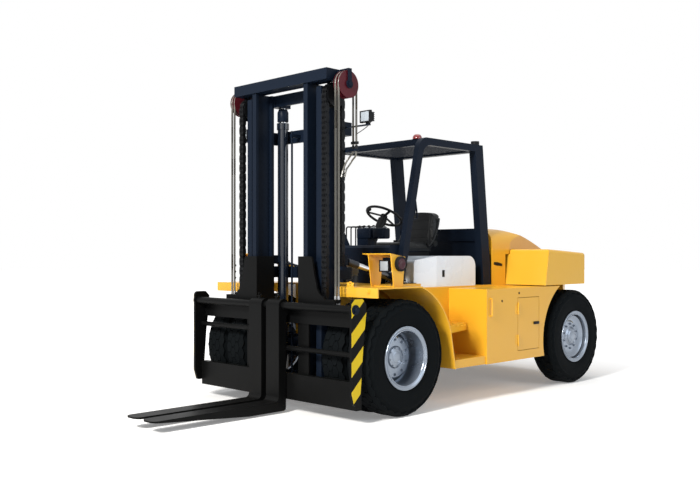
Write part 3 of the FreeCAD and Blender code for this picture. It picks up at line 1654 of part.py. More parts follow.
# ---------------------------------------------------------------- overhead guard
def overhead_guard():
    """Two bent front legs that run into the side rails, two deep rear legs, and the cross beams."""
    inside = guard_half - guard_leg_width
    slope = (guard_front_head - guard_front_foot) / (guard_top - deck_top)
    leg = 78
    under = guard_top - guard_rail
    bend = plate_x(
        inside,
        guard_half,
        [
            (guard_front_foot, deck_top),
            (guard_front_foot + leg, deck_top),
            (guard_front_foot + leg + (under - 60 - deck_top) * slope, under - 60),
            (guard_front_head + leg + 70, under, 14),
            (guard_rear_head, under),
            (guard_rear_head, guard_top),
            (guard_front_head + 90, guard_top),
            (guard_front_foot + (guard_top - 110 - deck_top) * slope, guard_top - 110, -24),
        ],
    )
    rear_leg = plate_x(
        guard_half - guard_rear_width,
        guard_half,
        [
            (guard_rear_foot - guard_rear_depth, frame_top + 15),
            (guard_rear_foot, frame_top + 15),
            (guard_rear_head, guard_top),
            (guard_rear_head - guard_rear_depth, guard_top),
        ],
    )
    front_beam = box(
        -inside, inside, guard_front_head + 62, guard_front_head + 122, under, guard_top - 8,
    )
    rear_beam = box(-inside, inside, guard_rear_head - 100, guard_rear_head - 20, under, guard_top - 8)
    foot = box(
        inside - 15, guard_half, guard_front_foot - 25, guard_front_foot + leg + 25, deck_top,
        deck_top + 14,
    )
    grip = [
        cylinder("Z", inside + 30, guard_front_foot + 275, deck_top + 660, 8, 168),
        cylinder("Y", inside + 30, guard_front_foot + 190, deck_top + 668, 8, 85),
        cylinder("Y", inside + 30, guard_front_foot + 220, deck_top + 820, 8, 55),
    ]
    sides = [bend, rear_leg, foot, *grip]
    return piece(
        "overhead_guard", fuse(front_beam, rear_beam, *sides, *[mirrored(item) for item in sides]),
    )


def roof_slats():
    """Inclined slats across the roof, spaced evenly between the front and rear beams."""
    inside = guard_half - guard_leg_width
    first = guard_front_head + 122
    last = guard_rear_head - 100
    pitch = (last - first) / (slat_count + 1)
    low = guard_top - guard_rail + 12
    body = plate_x(
        -inside,
        inside,
        [
            (first + pitch - 24, low),
            (first + pitch - 14, low),
            (first + pitch + 24, low + 44),
            (first + pitch + 14, low + 44),
        ],
    )
    pattern = body.newObject("PartDesign::LinearPattern", "Slats")
    pattern.Originals = [body.Tip]
    pattern.Direction = (origin_plane(body, "Y_Axis"), [""])
    bind(pattern, "Length", pitch * (slat_count - 1))
    bind(pattern, "Occurrences", slat_count)
    body.Tip = pattern
    return piece("roof_slats", body)


def rear_panel():
    """The sheet between the rear legs, behind the seat, under a deep cross beam."""
    slope = (guard_rear_foot - guard_rear_head) / (guard_top - frame_top - 15)
    half = guard_half - guard_rear_width
    low = frame_top + 15
    high = hood_top - 3
    y0 = guard_rear_foot - 60
    y1 = y0 - (high - low) * slope
    panel = plate_x(-half, half, [(y0, low), (y0 + 8, low), (y1 + 8, high), (y1, high)])
    under = y1 + slope * 130
    beam = plate_x(
        -half, half, [(under - 42, high - 130), (under, high - 130), (y1, high), (y1 - 42, high)],
    )
    return piece("rear_panel", fuse(panel, beam))


# ---------------------------------------------------------------- hood and counterweight
def hood_plan(margin, start, end):
    """The hood's outline from above, wider by a margin: level sides that draw in toward the rear."""
    wide = hood_half + margin
    narrow = hood_tail_half + margin
    bend = hood_front + hood_level
    return [
        (-wide, start),
        (wide, start),
        (wide, bend),
        (narrow, hood_rear),
        (narrow, end + 1),
        (-narrow, end + 1),
        (-narrow, hood_rear),
        (-wide, bend),
    ]


def hood_solid(offset):
    """The domed profile of the engine hood, rounded along both top edges."""
    half = hood_half - offset
    front, rear = hood_front + offset, hood_rear - offset
    high, tail = hood_top - offset, hood_tail_top - offset
    body = plate_x(
        -half,
        half,
        [
            (front, hood_seat - offset * 0.01),
            (rear, hood_seat - offset * 0.01),
            (rear, tail),
            (front + hood_level, high - 17, -18),
            (front + 60, high, -6),
            (front, high - 6),
        ],
    )
    bend = hood_shoulder - offset
    quarter = bend * (1 - math.sqrt(0.5))
    low = hood_seat - offset * 0.01
    section = plate_y(
        front,
        rear,
        [
            (-half, low),
            (half, low),
            (half, high - bend),
            (half - bend, high, -quarter),
            (bend - half, high),
            (-half, high - bend, -quarter),
        ],
    )
    dome = add("Part::Common", "Dome", Base=body, Tool=section)
    plan = plate_z(low - 1, high + 1, hood_plan(-offset, front, hood_rear))
    return add("Part::Common", "Dome", Base=dome, Tool=plan)


def engine_hood():
    """The raised cover over the engine, a shell on two hinge lugs at its back."""
    shell = cut(hood_solid(0), hood_solid(hood_sheet))
    lug = fuse(
        cylinder("X", 220, hood_rear + 22, hood_seat + 16, 12, 60),
        box(220, 280, hood_rear - 4, hood_rear + 22, hood_seat + 6, hood_seat + 26),
    )
    bore = cylinder("X", 210, hood_rear + 22, hood_seat + 16, 6.5, 80)
    lug = cut(lug, bore)
    return piece("engine_hood", fuse(shell, lug, mirrored(lug)))


def on_sloping_top(edge):
    """Whether an edge lies in the top face of the counterweight, which falls toward the rear."""
    start = (weight_front + weight_lean).number
    fall = (weight_crown - weight_tail_top).number / ((wheelbase + rear_overhang).number + 20 - start)
    return all(abs(weight_crown.number - fall * (end.Y - start) - end.Z) < 0.1 for end in edge.Vertexes)


def counterweight():
    """A casting with swept shoulders, a core between the rear wheels and a lobe behind them."""
    rear = wheelbase + rear_overhang
    slab = plate_z(
        weight_bottom,
        weight_crown + 10,
        [
            (-weight_half, weight_front),
            (weight_half, weight_front),
            (weight_half, wheelbase + 216),
            (weight_tail_half, rear, -60),
            (-weight_tail_half, rear),
            (-weight_half, wheelbase + 216, -60),
        ],
    )
    above = [
        (weight_front - 20, weight_bottom),
        (weight_front, weight_bottom),
        (weight_front + weight_lean, weight_crown),
        (rear + 20, weight_tail_top),
        (rear + 20, weight_crown + 40),
        (weight_front - 20, weight_crown + 40),
    ]
    sketch = new_sketch(slab, "YZ_Plane", weight_half + 10, above)
    feature(slab, "Pocket", sketch, Length=weight_half * 2 + 20)
    round_rim(slab, weight_round, on_sloping_top)
    seat_step = plate_z(
        weight_top, weight_crown + 50, hood_plan(hood_gap, weight_front - 20, hood_rear + 85),
    )
    core = box(
        -weight_core_half, weight_core_half, frame_rear + 5, wheelbase + rear_overhang - 10,
        weight_core_bottom, weight_bottom + 1,
    )
    lobe = plate_z(
        weight_lobe_bottom,
        weight_bottom + 1,
        [
            (-weight_core_half, wheelbase + 280),
            (weight_core_half, wheelbase + 280),
            (weight_lobe_half - 120, wheelbase + 490),
            (weight_lobe_half, wheelbase + 530),
            (weight_lobe_half - 40, wheelbase + rear_overhang - 10),
            (40 - weight_lobe_half, wheelbase + rear_overhang - 10),
            (-weight_lobe_half, wheelbase + 530),
            (120 - weight_lobe_half, wheelbase + 490),
        ],
    )
    slot = box(
        -frame_half / 2 - 83, frame_half / 2 + 83, frame_rear - 50, wheelbase + 205,
        weight_core_bottom - 10, frame_tail_bottom + 140,
    )
    bay = box(
        -engine_half - 60, engine_half + 60, weight_front - 20, frame_rear + 5, weight_bottom - 5,
        weight_top + 5,
    )
    pin_hole = cylinder("Z", 0, rear - 75, weight_lobe_bottom - 5, tow_pin_radius, 430)
    pin_slot = box(-60, 60, rear - 130, rear + 5, weight_lobe_bottom + 110, weight_lobe_bottom + 190)
    vent = box(-300, 300, rear - 160, rear + 5, 720, 1120)
    ears = []
    for x in (205, 283):
        ears.append(box(x, x + 13, hood_rear + 11, hood_rear + 33, weight_top - 4, hood_seat + 27))
    hinge = fuse(*ears, cylinder("X", 205, hood_rear + 22, hood_seat + 16, 6, 91))
    body = cut(fuse(slab, core, lobe), slot, bay, seat_step, pin_hole, pin_slot, vent)
    return piece("counterweight", fuse(body, hinge, mirrored(hinge)))


def side_panels():
    """Upright sheets below the hood that close the sides of the engine bay."""
    y1 = weight_front - 4
    low = frame_top + 4
    sheet = box(hood_half - 8, hood_half, hood_front, y1, low, weight_top)
    foot = box(hood_half - 8, box_inner + 40, hood_front, y1, frame_top, low)
    return piece("engine_side_panels", both_sides(fuse(sheet, foot)))


# ---------------------------------------------------------------- lamps
def lamp_brackets():
    """Stands on the fender decks: two tapered side plates under a top plate that falls to the rear."""
    top = deck_top + bracket_height
    stand = [(-97, deck_top), (18, deck_top), (50, top - 29), (-138, top)]
    cover = [(-138, top - 8), (50, top - 37), (50, top - 29), (-138, top)]
    inner = plate_x(bracket_inner_x, bracket_inner_x + bracket_plate, stand)
    outer = plate_x(bracket_outer_x - bracket_plate, bracket_outer_x, stand)
    lid = plate_x(bracket_inner_x - 63, bracket_outer_x, cover)
    feet = box(bracket_inner_x, bracket_outer_x, -60, -20, deck_top, deck_top + 6)
    return piece("lamp_brackets", both_sides(fuse(inner, outer, lid, feet)))


def front_lamps():
    """In each bracket a square headlamp on a short arm, and a round turn lamp on the outer plate."""
    middle = deck_top + 182
    inside = bracket_outer_x - bracket_plate
    head = box(inside - 180, inside - 66, -75, 12, middle - 46, middle + 46)
    arm = box(inside - 66, inside, -45, -15, middle - 8, middle + 8)
    turn = cylinder("X", bracket_outer_x, -24, deck_top + 201, 66, 28)
    return piece("front_lamps", both_sides(group(fuse(head, arm), turn)))


def roof_lamps():
    """A low dark lamp on the rear left corner of the roof and a red beacon on its front beam."""
    piece("roof_lamp", cylinder("Z", guard_half - 48, guard_rear_head - 70, guard_top, 44, 40))
    piece("roof_beacon", cylinder("Z", guard_half - 120, guard_front_head + 92, guard_top - 8, 48, 50))


def build():
    wheels()
    drive_axle()
    steer_axle()
    knuckles()
    mast_outer()
    lift_barrels()
    mast_lamps()
    mast_inner()
    lift_rods()
    mast_rollers()
    chain_sheaves()
    hose_pulleys()
    chains()
    hoses()
    carriage_frame()
    carriage_shafts()
    forks()
    tilt_cylinders()
    main_frame()
    engine_block()
    front_fenders()
    floor_plate()
    main_deck()
    steps()
    side_boxes()
    side_door()
    grab_handles()
    seat_hood()
    cowl()
    steering_column()
    steering_wheel()
    control_levers()
    seat()
    overhead_guard()
    roof_slats()
    rear_panel()
    engine_hood()
    counterweight()
    side_panels()
    lamp_brackets()
    front_lamps()
    roof_lamps()


def check():
    """Stops on any object that failed and on any sub-part with a missing or faulty shape."""
    DOC.recompute()
    for item in DOC.Objects:
        if any(state in ("Invalid", "Error") for state in item.State):
            raise RuntimeError(f"{item.Label} failed: {item.State}")
    for item in SUB_PARTS:
        if item.Shape.isNull() or not item.Shape.isValid() or not item.Shape.Solids:
            raise RuntimeError(f"{item.Label} has no valid shape")


def export():
    os.makedirs("parts", exist_ok=True)
    for item in SUB_PARTS:
        item.Shape.exportStep(f"parts/{item.Label}.step")


build()
check()
export()
print(f"{len(SUB_PARTS)} sub-parts, front axle at y {drive_axle_y.number:.1f}")
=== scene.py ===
# %% [markdown]
# # A counterbalance forklift, dressed in Blender
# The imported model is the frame: its nodes have the right shape and place, and each rides on a body that a
# joint can move. Modelling the truck again would only let it drift from the frame. So this script gives
# every node its finish and adds the small pieces that a frame leaves out.

import json
import math

import bmesh
import bpy
from mathutils import Matrix, Vector


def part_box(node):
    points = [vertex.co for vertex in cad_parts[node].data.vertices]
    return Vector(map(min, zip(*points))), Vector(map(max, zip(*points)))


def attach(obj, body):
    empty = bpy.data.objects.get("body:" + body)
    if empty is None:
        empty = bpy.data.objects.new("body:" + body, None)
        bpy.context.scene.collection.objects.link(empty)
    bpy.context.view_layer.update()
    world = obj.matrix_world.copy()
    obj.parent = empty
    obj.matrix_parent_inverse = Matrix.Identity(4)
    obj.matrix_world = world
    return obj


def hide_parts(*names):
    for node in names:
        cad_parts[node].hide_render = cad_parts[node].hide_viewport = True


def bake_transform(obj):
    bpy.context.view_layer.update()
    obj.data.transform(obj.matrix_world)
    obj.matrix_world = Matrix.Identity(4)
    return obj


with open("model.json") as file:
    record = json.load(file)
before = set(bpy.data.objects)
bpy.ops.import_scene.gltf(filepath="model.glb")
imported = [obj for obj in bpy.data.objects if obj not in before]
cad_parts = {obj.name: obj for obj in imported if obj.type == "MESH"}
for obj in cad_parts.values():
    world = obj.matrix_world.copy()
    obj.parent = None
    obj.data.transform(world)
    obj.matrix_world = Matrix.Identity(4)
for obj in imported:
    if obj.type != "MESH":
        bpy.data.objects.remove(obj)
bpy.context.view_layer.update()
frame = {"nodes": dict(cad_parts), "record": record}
nodes = frame["nodes"]

# %% [markdown]
# ## Finishes
# Paint, rubber and steel are never one flat colour. Each could have a node tree of its own, but they share
# three effects: a slow drift of the colour, a change of gloss from handling, and dust on what faces up and
# near the ground. So one node group makes the three, and each finish states its values. The drift is small
# on a clean truck, felt more than seen.

# %% Small helpers for node trees
def add_node(tree, kind, **values):
    node = tree.nodes.new(kind)
    for name, value in values.items():
        setattr(node, name, value)
    return node


def socket(group, name, kind, default=None, output=False):
    side = "OUTPUT" if output else "INPUT"
    made = group.interface.new_socket(name, in_out=side, socket_type=f"NodeSocket{kind}")
    if default is not None:
        made.default_value = default
    return made


def plug(tree, target, value):
    """Puts a number or colour in a socket, or links another socket to it."""
    if isinstance(value, (int, float, tuple)):
        target.default_value = value
    else:
        tree.links.new(value, target)


def maths(tree, operation, *values, clamp=False):
    node = add_node(tree, "ShaderNodeMath", operation=operation, use_clamp=clamp)
    for target, value in zip(node.inputs, values):
        plug(tree, target, value)
    return node.outputs[0]


def mix_colour(tree, factor, first, second):
    node = add_node(tree, "ShaderNodeMix", data_type="RGBA")
    for index, value in ((0, factor), (6, first), (7, second)):
        plug(tree, node.inputs[index], value)
    return node.outputs[2]


def mix_number(tree, factor, first, second):
    node = add_node(tree, "ShaderNodeMix", data_type="FLOAT")
    for index, value in ((0, factor), (2, first), (3, second)):
        plug(tree, node.inputs[index], value)
    return node.outputs[0]


def noise(tree, coordinates, scale, detail):
    node = add_node(tree, "ShaderNodeTexNoise")
    node.inputs["Detail"].default_value = detail
    plug(tree, node.inputs["Vector"], coordinates)
    plug(tree, node.inputs["Scale"], scale)
    return node.outputs["Fac"]


def parts_of(tree, vector):
    node = add_node(tree, "ShaderNodeSeparateXYZ")
    tree.links.new(vector, node.inputs[0])
    return node.outputs


# %% A node group for drift, gloss and dust
def make_surface_group():
    group = bpy.data.node_groups.new("used surface", "ShaderNodeTree")
    socket(group, "Colour", "Color", (0.5, 0.5, 0.5, 1))
    socket(group, "Drift colour", "Color", (0.4, 0.4, 0.4, 1))
    socket(group, "Dust colour", "Color", (0.36, 0.33, 0.28, 1))
    amounts = {"Drift": 0.3, "Dust": 0.1, "Roughness": 0.4, "Gloss spread": 0.1, "Grain size": 300.0}
    for name, value in amounts.items():
        socket(group, name, "Float", value)
    for name, kind in (("Colour", "Color"), ("Roughness", "Float"), ("Height", "Float")):
        socket(group, name, kind, output=True)
    given = group.nodes.new("NodeGroupInput").outputs
    result = group.nodes.new("NodeGroupOutput").inputs
    place = add_node(group, "ShaderNodeTexCoord").outputs["Object"]
    drift = maths(group, "MULTIPLY", noise(group, place, 1.7, 4.0), given["Drift"], clamp=True)
    base = mix_colour(group, drift, given["Colour"], given["Drift colour"])
    height = maths(group, "MULTIPLY", parts_of(group, place)["Z"], 1.1, clamp=True)
    low = maths(group, "SUBTRACT", 1.0, height, clamp=True)
    normal = add_node(group, "ShaderNodeNewGeometry").outputs["Normal"]
    up = maths(group, "MAXIMUM", parts_of(group, normal)["Z"], 0.0)
    from_ground = maths(group, "MULTIPLY", low, 0.8)
    from_above = maths(group, "MULTIPLY", up, 0.35)
    where = maths(group, "ADD", from_ground, from_above, clamp=True)
    speckle = maths(group, "MULTIPLY", noise(group, place, 9.0, 6.0), 1.5)
    dust = maths(group, "MULTIPLY", maths(group, "MULTIPLY", where, speckle), given["Dust"], clamp=True)
    group.links.new(mix_colour(group, dust, base, given["Dust colour"]), result["Colour"])
    handled = maths(group, "SUBTRACT", noise(group, place, 6.0, 5.0), 0.5)
    gloss = maths(group, "ADD", maths(group, "MULTIPLY", handled, given["Gloss spread"]), given["Roughness"])
    dulled = maths(group, "ADD", gloss, maths(group, "MULTIPLY", dust, 0.5), clamp=True)
    group.links.new(dulled, result["Roughness"])
    group.links.new(noise(group, place, given["Grain size"], 2.0), result["Height"])
    return group


USED_SURFACE = make_surface_group()
print("group:", USED_SURFACE.name, len(USED_SURFACE.nodes), "nodes")


# %% [markdown]
# A finish is a Principled BSDF fed by that group. Metal, coat and specular level are the same all over a
# piece, so they are set on the shader itself. The dark paints get a low specular level, because a black
# mast that mirrors a white studio at full strength would turn grey.

# %% Finishes from one recipe
FINISH_SLOTS = {}


def finish(
    name, slot, colour, drift_colour, roughness, drift=0.35, dust=0.1, spread=0.12, grain=300.0, bump=0.02,
    specular=0.5, **shader,
):
    """A paint, metal or rubber. Values in shader go on the shader's own sockets, such as coat_weight."""
    material = bpy.data.materials.new(name)
    material.use_nodes = True
    tree = material.node_tree
    bsdf = tree.nodes["Principled BSDF"]
    surface = add_node(tree, "ShaderNodeGroup", node_tree=USED_SURFACE, name="Surface")
    values = {
        "Colour": (*colour, 1), "Drift colour": (*drift_colour, 1), "Drift": drift, "Dust": dust,
        "Roughness": roughness, "Gloss spread": spread, "Grain size": grain,
    }
    for key, value in values.items():
        surface.inputs[key].default_value = value
    bumps = add_node(tree, "ShaderNodeBump")
    bumps.inputs["Strength"].default_value = bump
    bumps.inputs["Distance"].default_value = 0.002
    tree.links.new(surface.outputs["Height"], bumps.inputs["Height"])
    tree.links.new(surface.outputs["Colour"], bsdf.inputs["Base Color"])
    tree.links.new(surface.outputs["Roughness"], bsdf.inputs["Roughness"])
    tree.links.new(bumps.outputs["Normal"], bsdf.inputs["Normal"])
    bsdf.inputs["Specular IOR Level"].default_value = specular
    for key, value in shader.items():
        bsdf.inputs[key.replace("_", " ").title()].default_value = value
    FINISH_SLOTS[name] = slot
    return material


yellow = finish(
    "yellow paint", "yellow_paint", (0.76, 0.40, 0.022), (0.70, 0.35, 0.018), 0.34,
    dust=0.04, specular=0.4, coat_weight=0.25, coat_roughness=0.12,
)
dark = finish(
    "blue-black paint", "dark_paint", (0.0048, 0.0090, 0.0185), (0.0060, 0.0098, 0.0185), 0.40,
    dust=0.006, specular=0.07,
)
fork_black = finish(
    "fork paint", "dark_paint", (0.0026, 0.0028, 0.0030), (0.0040, 0.0042, 0.0044), 0.40,
    dust=0.006, specular=0.06,
)
cylinder_paint = finish(
    "glossy cylinder paint", "dark_paint", (0.0050, 0.0085, 0.0160), (0.0060, 0.0090, 0.0160), 0.18,
    dust=0.004, spread=0.06, specular=0.5, coat_weight=0.4,
)
pale = finish(
    "pale paint", "pale_paint", (0.76, 0.83, 0.92), (0.72, 0.79, 0.87), 0.28,
    dust=0.02, coat_weight=0.25,
)
rubber = finish(
    "tyre rubber", "tyre_rubber", (0.0030, 0.0042, 0.0052), (0.0045, 0.0058, 0.0064), 0.66,
    dust=0.006, grain=900, bump=0.10, specular=0.03,
)
silver = finish(
    "rim paint", "rim_paint", (0.27, 0.31, 0.37), (0.20, 0.24, 0.30), 0.27,
    dust=0.10, metallic=0.75,
)
chrome = finish(
    "hard chrome", "chrome_rod", (0.62, 0.63, 0.65), (0.56, 0.57, 0.59), 0.14,
    dust=0.02, metallic=1.0,
)
oiled = finish(
    "oiled steel", "oiled_steel", (0.012, 0.013, 0.015), (0.008, 0.008, 0.009), 0.36,
    dust=0.01, metallic=0.6, specular=0.2,
)
bright = finish(
    "plated steel", "rim_paint", (0.42, 0.43, 0.44), (0.34, 0.35, 0.36), 0.30,
    dust=0.06, metallic=0.9,
)
brass = finish(
    "yellow-plated steel", "chrome_rod", (0.42, 0.30, 0.09), (0.34, 0.24, 0.08), 0.34,
    dust=0.06, metallic=0.85,
)
hose = finish(
    "hose rubber", "hose_rubber", (0.010, 0.011, 0.012), (0.016, 0.016, 0.016), 0.42,
    dust=0.04, grain=1200, bump=0.08, specular=0.3,
)
# The mast hoses get a light grey base colour for the bright highlight that runs along them: painted
# highlight.
highlight_painted_hose = finish(
    "hose with painted highlight", "hose_rubber", (0.13, 0.125, 0.11), (0.09, 0.088, 0.08), 0.30,
    dust=0.02, grain=1200, bump=0.08, specular=0.5,
)
red = finish(
    "dark red paint", "red_paint", (0.075, 0.006, 0.012), (0.06, 0.005, 0.010), 0.40,
    dust=0.01, specular=0.2,
)
plastic = finish(
    "moulded plastic", "black_plastic", (0.006, 0.0065, 0.008), (0.009, 0.009, 0.010), 0.5,
    dust=0.015, grain=700, bump=0.08, specular=0.12,
)
iron = finish(
    "cast iron", "engine_iron", (0.030, 0.032, 0.035), (0.04, 0.04, 0.04), 0.62,
    dust=0.15, grain=120, bump=0.2,
)
vinyl = finish(
    "seat vinyl", "seat_cover", (0.010, 0.0115, 0.013), (0.014, 0.015, 0.016), 0.42,
    dust=0.015, grain=420, bump=0.16, specular=0.2,
)
beacon_red = finish(
    "red lens", "lamp_lens", (0.20, 0.008, 0.008), (0.17, 0.007, 0.007), 0.16,
    dust=0.02, coat_weight=0.6,
)
turn_red = finish(
    "smoked red lens", "lamp_lens", (0.045, 0.005, 0.012), (0.03, 0.004, 0.01), 0.2,
    dust=0.02, specular=0.2, coat_weight=0.15,
)
clear = finish(
    "clear lens", "lamp_lens", (0.42, 0.47, 0.52), (0.20, 0.23, 0.27), 0.14,
    drift=0.8, dust=0.02, coat_weight=0.3,
)
print("finishes:", len(FINISH_SLOTS))


# %% [markdown]
# The carriage's outer cheeks wear slanted warning stripes, and the tilt rods are painted at their eye and
# bare chrome where they slide. Thin extra plates could carry such marks, but paint has no thickness, so a
# mask on Object coordinates mixes two finishes and stays with the piece as it moves. The counterweight is a
# casting, and its paint lies over a coarser grain.

# %% Warning stripes on the carriage and painted rod ends
# Lengths are in metres here, as Object coordinates are. Only the tilt pin's place is in millimetres.
MM = 0.001
AXLE_Y = -0.745
TILT_PIN_Y, TILT_PIN_Z = 554, 1178
TILT_SLOPE = math.radians(14)
CHEEK_X = 1.0985
STRIPE_PITCH = 0.240
STRIPE_START = 0.799
STRIPE_SLOPE = 0.95
STRIPE_SHARE = 0.50
ROD_PAINT_START = 0.541


def blend_finish(name, slot, first, second, make_mask):
    """A copy of one finish that turns into another's colour and gloss where a mask is 1."""
    material = first.copy()
    material.name = name
    tree = material.node_tree
    bsdf = tree.nodes["Principled BSDF"]
    surface = tree.nodes["Surface"]
    other = add_node(tree, "ShaderNodeGroup", node_tree=USED_SURFACE)
    source = second.node_tree.nodes["Surface"]
    for key in source.inputs.keys():
        other.inputs[key].default_value = source.inputs[key].default_value
    place = add_node(tree, "ShaderNodeTexCoord").outputs["Object"]
    mask = make_mask(tree, place)
    mixed = mix_colour(tree, mask, surface.outputs["Colour"], other.outputs["Colour"])
    tree.links.new(mixed, bsdf.inputs["Base Color"])
    gloss = mix_number(tree, mask, surface.outputs["Roughness"], other.outputs["Roughness"])
    tree.links.new(gloss, bsdf.inputs["Roughness"])
    metal = bsdf.inputs["Metallic"]
    other_metal = second.node_tree.nodes["Principled BSDF"].inputs["Metallic"]
    if metal.default_value != other_metal.default_value:
        tree.links.new(mix_number(tree, mask, metal.default_value, other_metal.default_value), metal)
    FINISH_SLOTS[name] = slot
    return material


def stripe_mask(tree, place):
    x, y, z = parts_of(tree, place)
    outer = maths(tree, "GREATER_THAN", maths(tree, "ABSOLUTE", x), CHEEK_X)
    lean = maths(tree, "MULTIPLY", maths(tree, "SUBTRACT", y, AXLE_Y), STRIPE_SLOPE)
    slanted = maths(tree, "SUBTRACT", z, lean)
    turns = maths(tree, "DIVIDE", maths(tree, "SUBTRACT", slanted, STRIPE_START), STRIPE_PITCH)
    band = maths(tree, "LESS_THAN", maths(tree, "FRACT", turns), STRIPE_SHARE)
    return maths(tree, "MULTIPLY", outer, band)


def rod_end_mask(tree, place):
    x, y, z = parts_of(tree, place)
    behind = maths(tree, "SUBTRACT", y, TILT_PIN_Y * MM + AXLE_Y)
    above = maths(tree, "SUBTRACT", z, TILT_PIN_Z * MM)
    back = maths(tree, "MULTIPLY", behind, -math.cos(TILT_SLOPE))
    rise = maths(tree, "MULTIPLY", above, math.sin(TILT_SLOPE))
    return maths(tree, "GREATER_THAN", maths(tree, "ADD", back, rise), ROD_PAINT_START)


stripe_yellow = finish(
    "warning yellow", "yellow_paint", (0.66, 0.47, 0.02), (0.58, 0.41, 0.02), 0.40, dust=0.05,
)
striped = blend_finish("striped carriage paint", "dark_paint", fork_black, stripe_yellow, stripe_mask)
rod_finish = blend_finish("chrome rod with painted end", "chrome_rod", chrome, dark, rod_end_mask)
cast_yellow = finish(
    "yellow paint on casting", "yellow_paint", (0.76, 0.42, 0.026), (0.71, 0.37, 0.02), 0.38,
    dust=0.05, grain=55.0, bump=0.25, specular=0.4, coat_weight=0.2,
)
print("patterned finishes:", striped.name, "and", rod_finish.name)

# %% Give every node its finish
plain_finishes = (
    yellow, dark, pale, rubber, silver, chrome, oiled, hose, red, plastic, vinyl, beacon_red, iron,
)
node_finishes = {FINISH_SLOTS[material.name]: material for material in plain_finishes}
special_finishes = {
    "carriage_frame": striped, "tilt_rods": rod_finish, "counterweight": cast_yellow, "left_fork": fork_black,
    "right_fork": fork_black, "carriage_shafts": fork_black, "hose_bends": highlight_painted_hose,
    "lift_barrels": cylinder_paint, "tilt_barrels": cylinder_paint,
}
for row in frame["record"]["subparts"]:
    mesh = nodes[row["node"]].data
    mesh.materials.clear()
    mesh.materials.append(special_finishes.get(row["node"], node_finishes[row["material_slot"]]))

# %% [markdown]
# ## Shapes from operators
# Every added piece is built in a bmesh from a few operators, not from lists of corners: cubes and cones
# make blocks, rods and bolts, a spin makes what was turned, and an extruded ring makes pipes. Places are in
# millimetres, as on a truck's drawing, counted from the floor under the drive axle.

# %% Places and blocks
def spot(x, y, z):
    """A place given in millimetres, in the scene's metres."""
    return Vector((x * MM, y * MM + AXLE_Y, z * MM))


def pointing(axis):
    """The rotation that carries +Z to an axis."""
    return Vector((0, 0, 1)).rotation_difference(Vector(axis)).to_matrix().to_4x4()


def block(bm, low, high, soften=0.0, segments=2):
    """A box between two corners, with softened edges if asked."""
    low, high = spot(*low), spot(*high)
    size = high - low
    matrix = Matrix.Translation((low + high) / 2) @ Matrix.Diagonal((*size, 1))
    made = bmesh.ops.create_cube(bm, size=1.0, matrix=matrix)
    if soften:
        edges = list({edge for vert in made["verts"] for edge in vert.link_edges})
        bmesh.ops.bevel(
            bm, geom=edges, offset=soften * MM, affect="EDGES", segments=segments, profile=0.5, material=-1
        )


def rod(bm, start, end, radius, sides=16, end_radius=None):
    """A round or many-sided bar between two places, which may taper."""
    start, end = spot(*start), spot(*end)
    along = end - start
    far = radius if end_radius is None else end_radius
    bmesh.ops.create_cone(
        bm, cap_ends=True, segments=sides, radius1=radius * MM, radius2=far * MM, depth=along.length,
        matrix=Matrix.Translation((start + end) / 2) @ pointing(along),
    )


def bolt(bm, place, axis, size=10.0, washer=True):
    """A six-sided head on a washer. Size is the radius of the head."""
    place, axis = Vector(place), Vector(axis).normalized()
    foot = size * 0.22 if washer else 0.0
    if washer:
        rod(bm, place, place + axis * foot, size * 1.3, 12)
    rod(bm, place + axis * foot, place + axis * (foot + size * 0.75), size, 6, size * 0.94)


def around(count, centre, axis, radius, phase=0.0):
    """Evenly spaced places on a circle about an axis."""
    turn = pointing(axis).to_3x3()
    angles = [phase + 2 * math.pi * step / count for step in range(count)]
    return [Vector(centre) + turn @ Vector((math.cos(a) * radius, math.sin(a) * radius, 0)) for a in angles]


# %% Turned shapes, plates and pipes
def lathe(bm, outline, centre, axis, steps=32):
    """Spins an outline of (radius, height along the axis) about that axis."""
    spindle = Matrix.Translation(spot(*centre)) @ pointing(axis)
    verts = [bm.verts.new(spindle @ Vector((radius * MM, 0, height * MM))) for radius, height in outline]
    edges = [bm.edges.new(pair) for pair in zip(verts, verts[1:])]
    bmesh.ops.spin(
        bm, geom=verts + edges, cent=spot(*centre), axis=Vector(axis).normalized(), angle=2 * math.pi,
        steps=steps, use_merge=True,
    )


def hoop(bm, centre, axis, ring, tube, steps=32, sides=8):
    """A ring of round section."""
    angles = [2 * math.pi * step / sides for step in range(sides)]
    circle = [(ring + tube * math.cos(a), tube * math.sin(a)) for a in angles]
    lathe(bm, circle + circle[:1], centre, axis, steps)


def plate(bm, outline, push):
    """A flat face through places, pushed along a direction into a plate."""
    face = bm.faces.new([bm.verts.new(spot(*place)) for place in outline])
    made = bmesh.ops.extrude_face_region(bm, geom=[face])
    moved = [item for item in made["geom"] if isinstance(item, bmesh.types.BMVert)]
    bmesh.ops.translate(bm, vec=Vector(push) * MM, verts=moved)


def smooth_path(points, steps=5):
    """Points on a smooth curve through the given places."""
    points = [Vector(p) for p in points]
    ends = [points[0] * 2 - points[1], *points, points[-1] * 2 - points[-2]]
    path = []
    for a, b, c, d in zip(ends, ends[1:], ends[2:], ends[3:]):
        for step in range(steps):
            t = step / steps
            curve = a * 2 - b * 5 + c * 4 - d
            twist = b * 3 - a - c * 3 + d
            path.append((b * 2 + (c - a) * t + curve * t**2 + twist * t**3) * 0.5)
    return [*path, points[-1]]


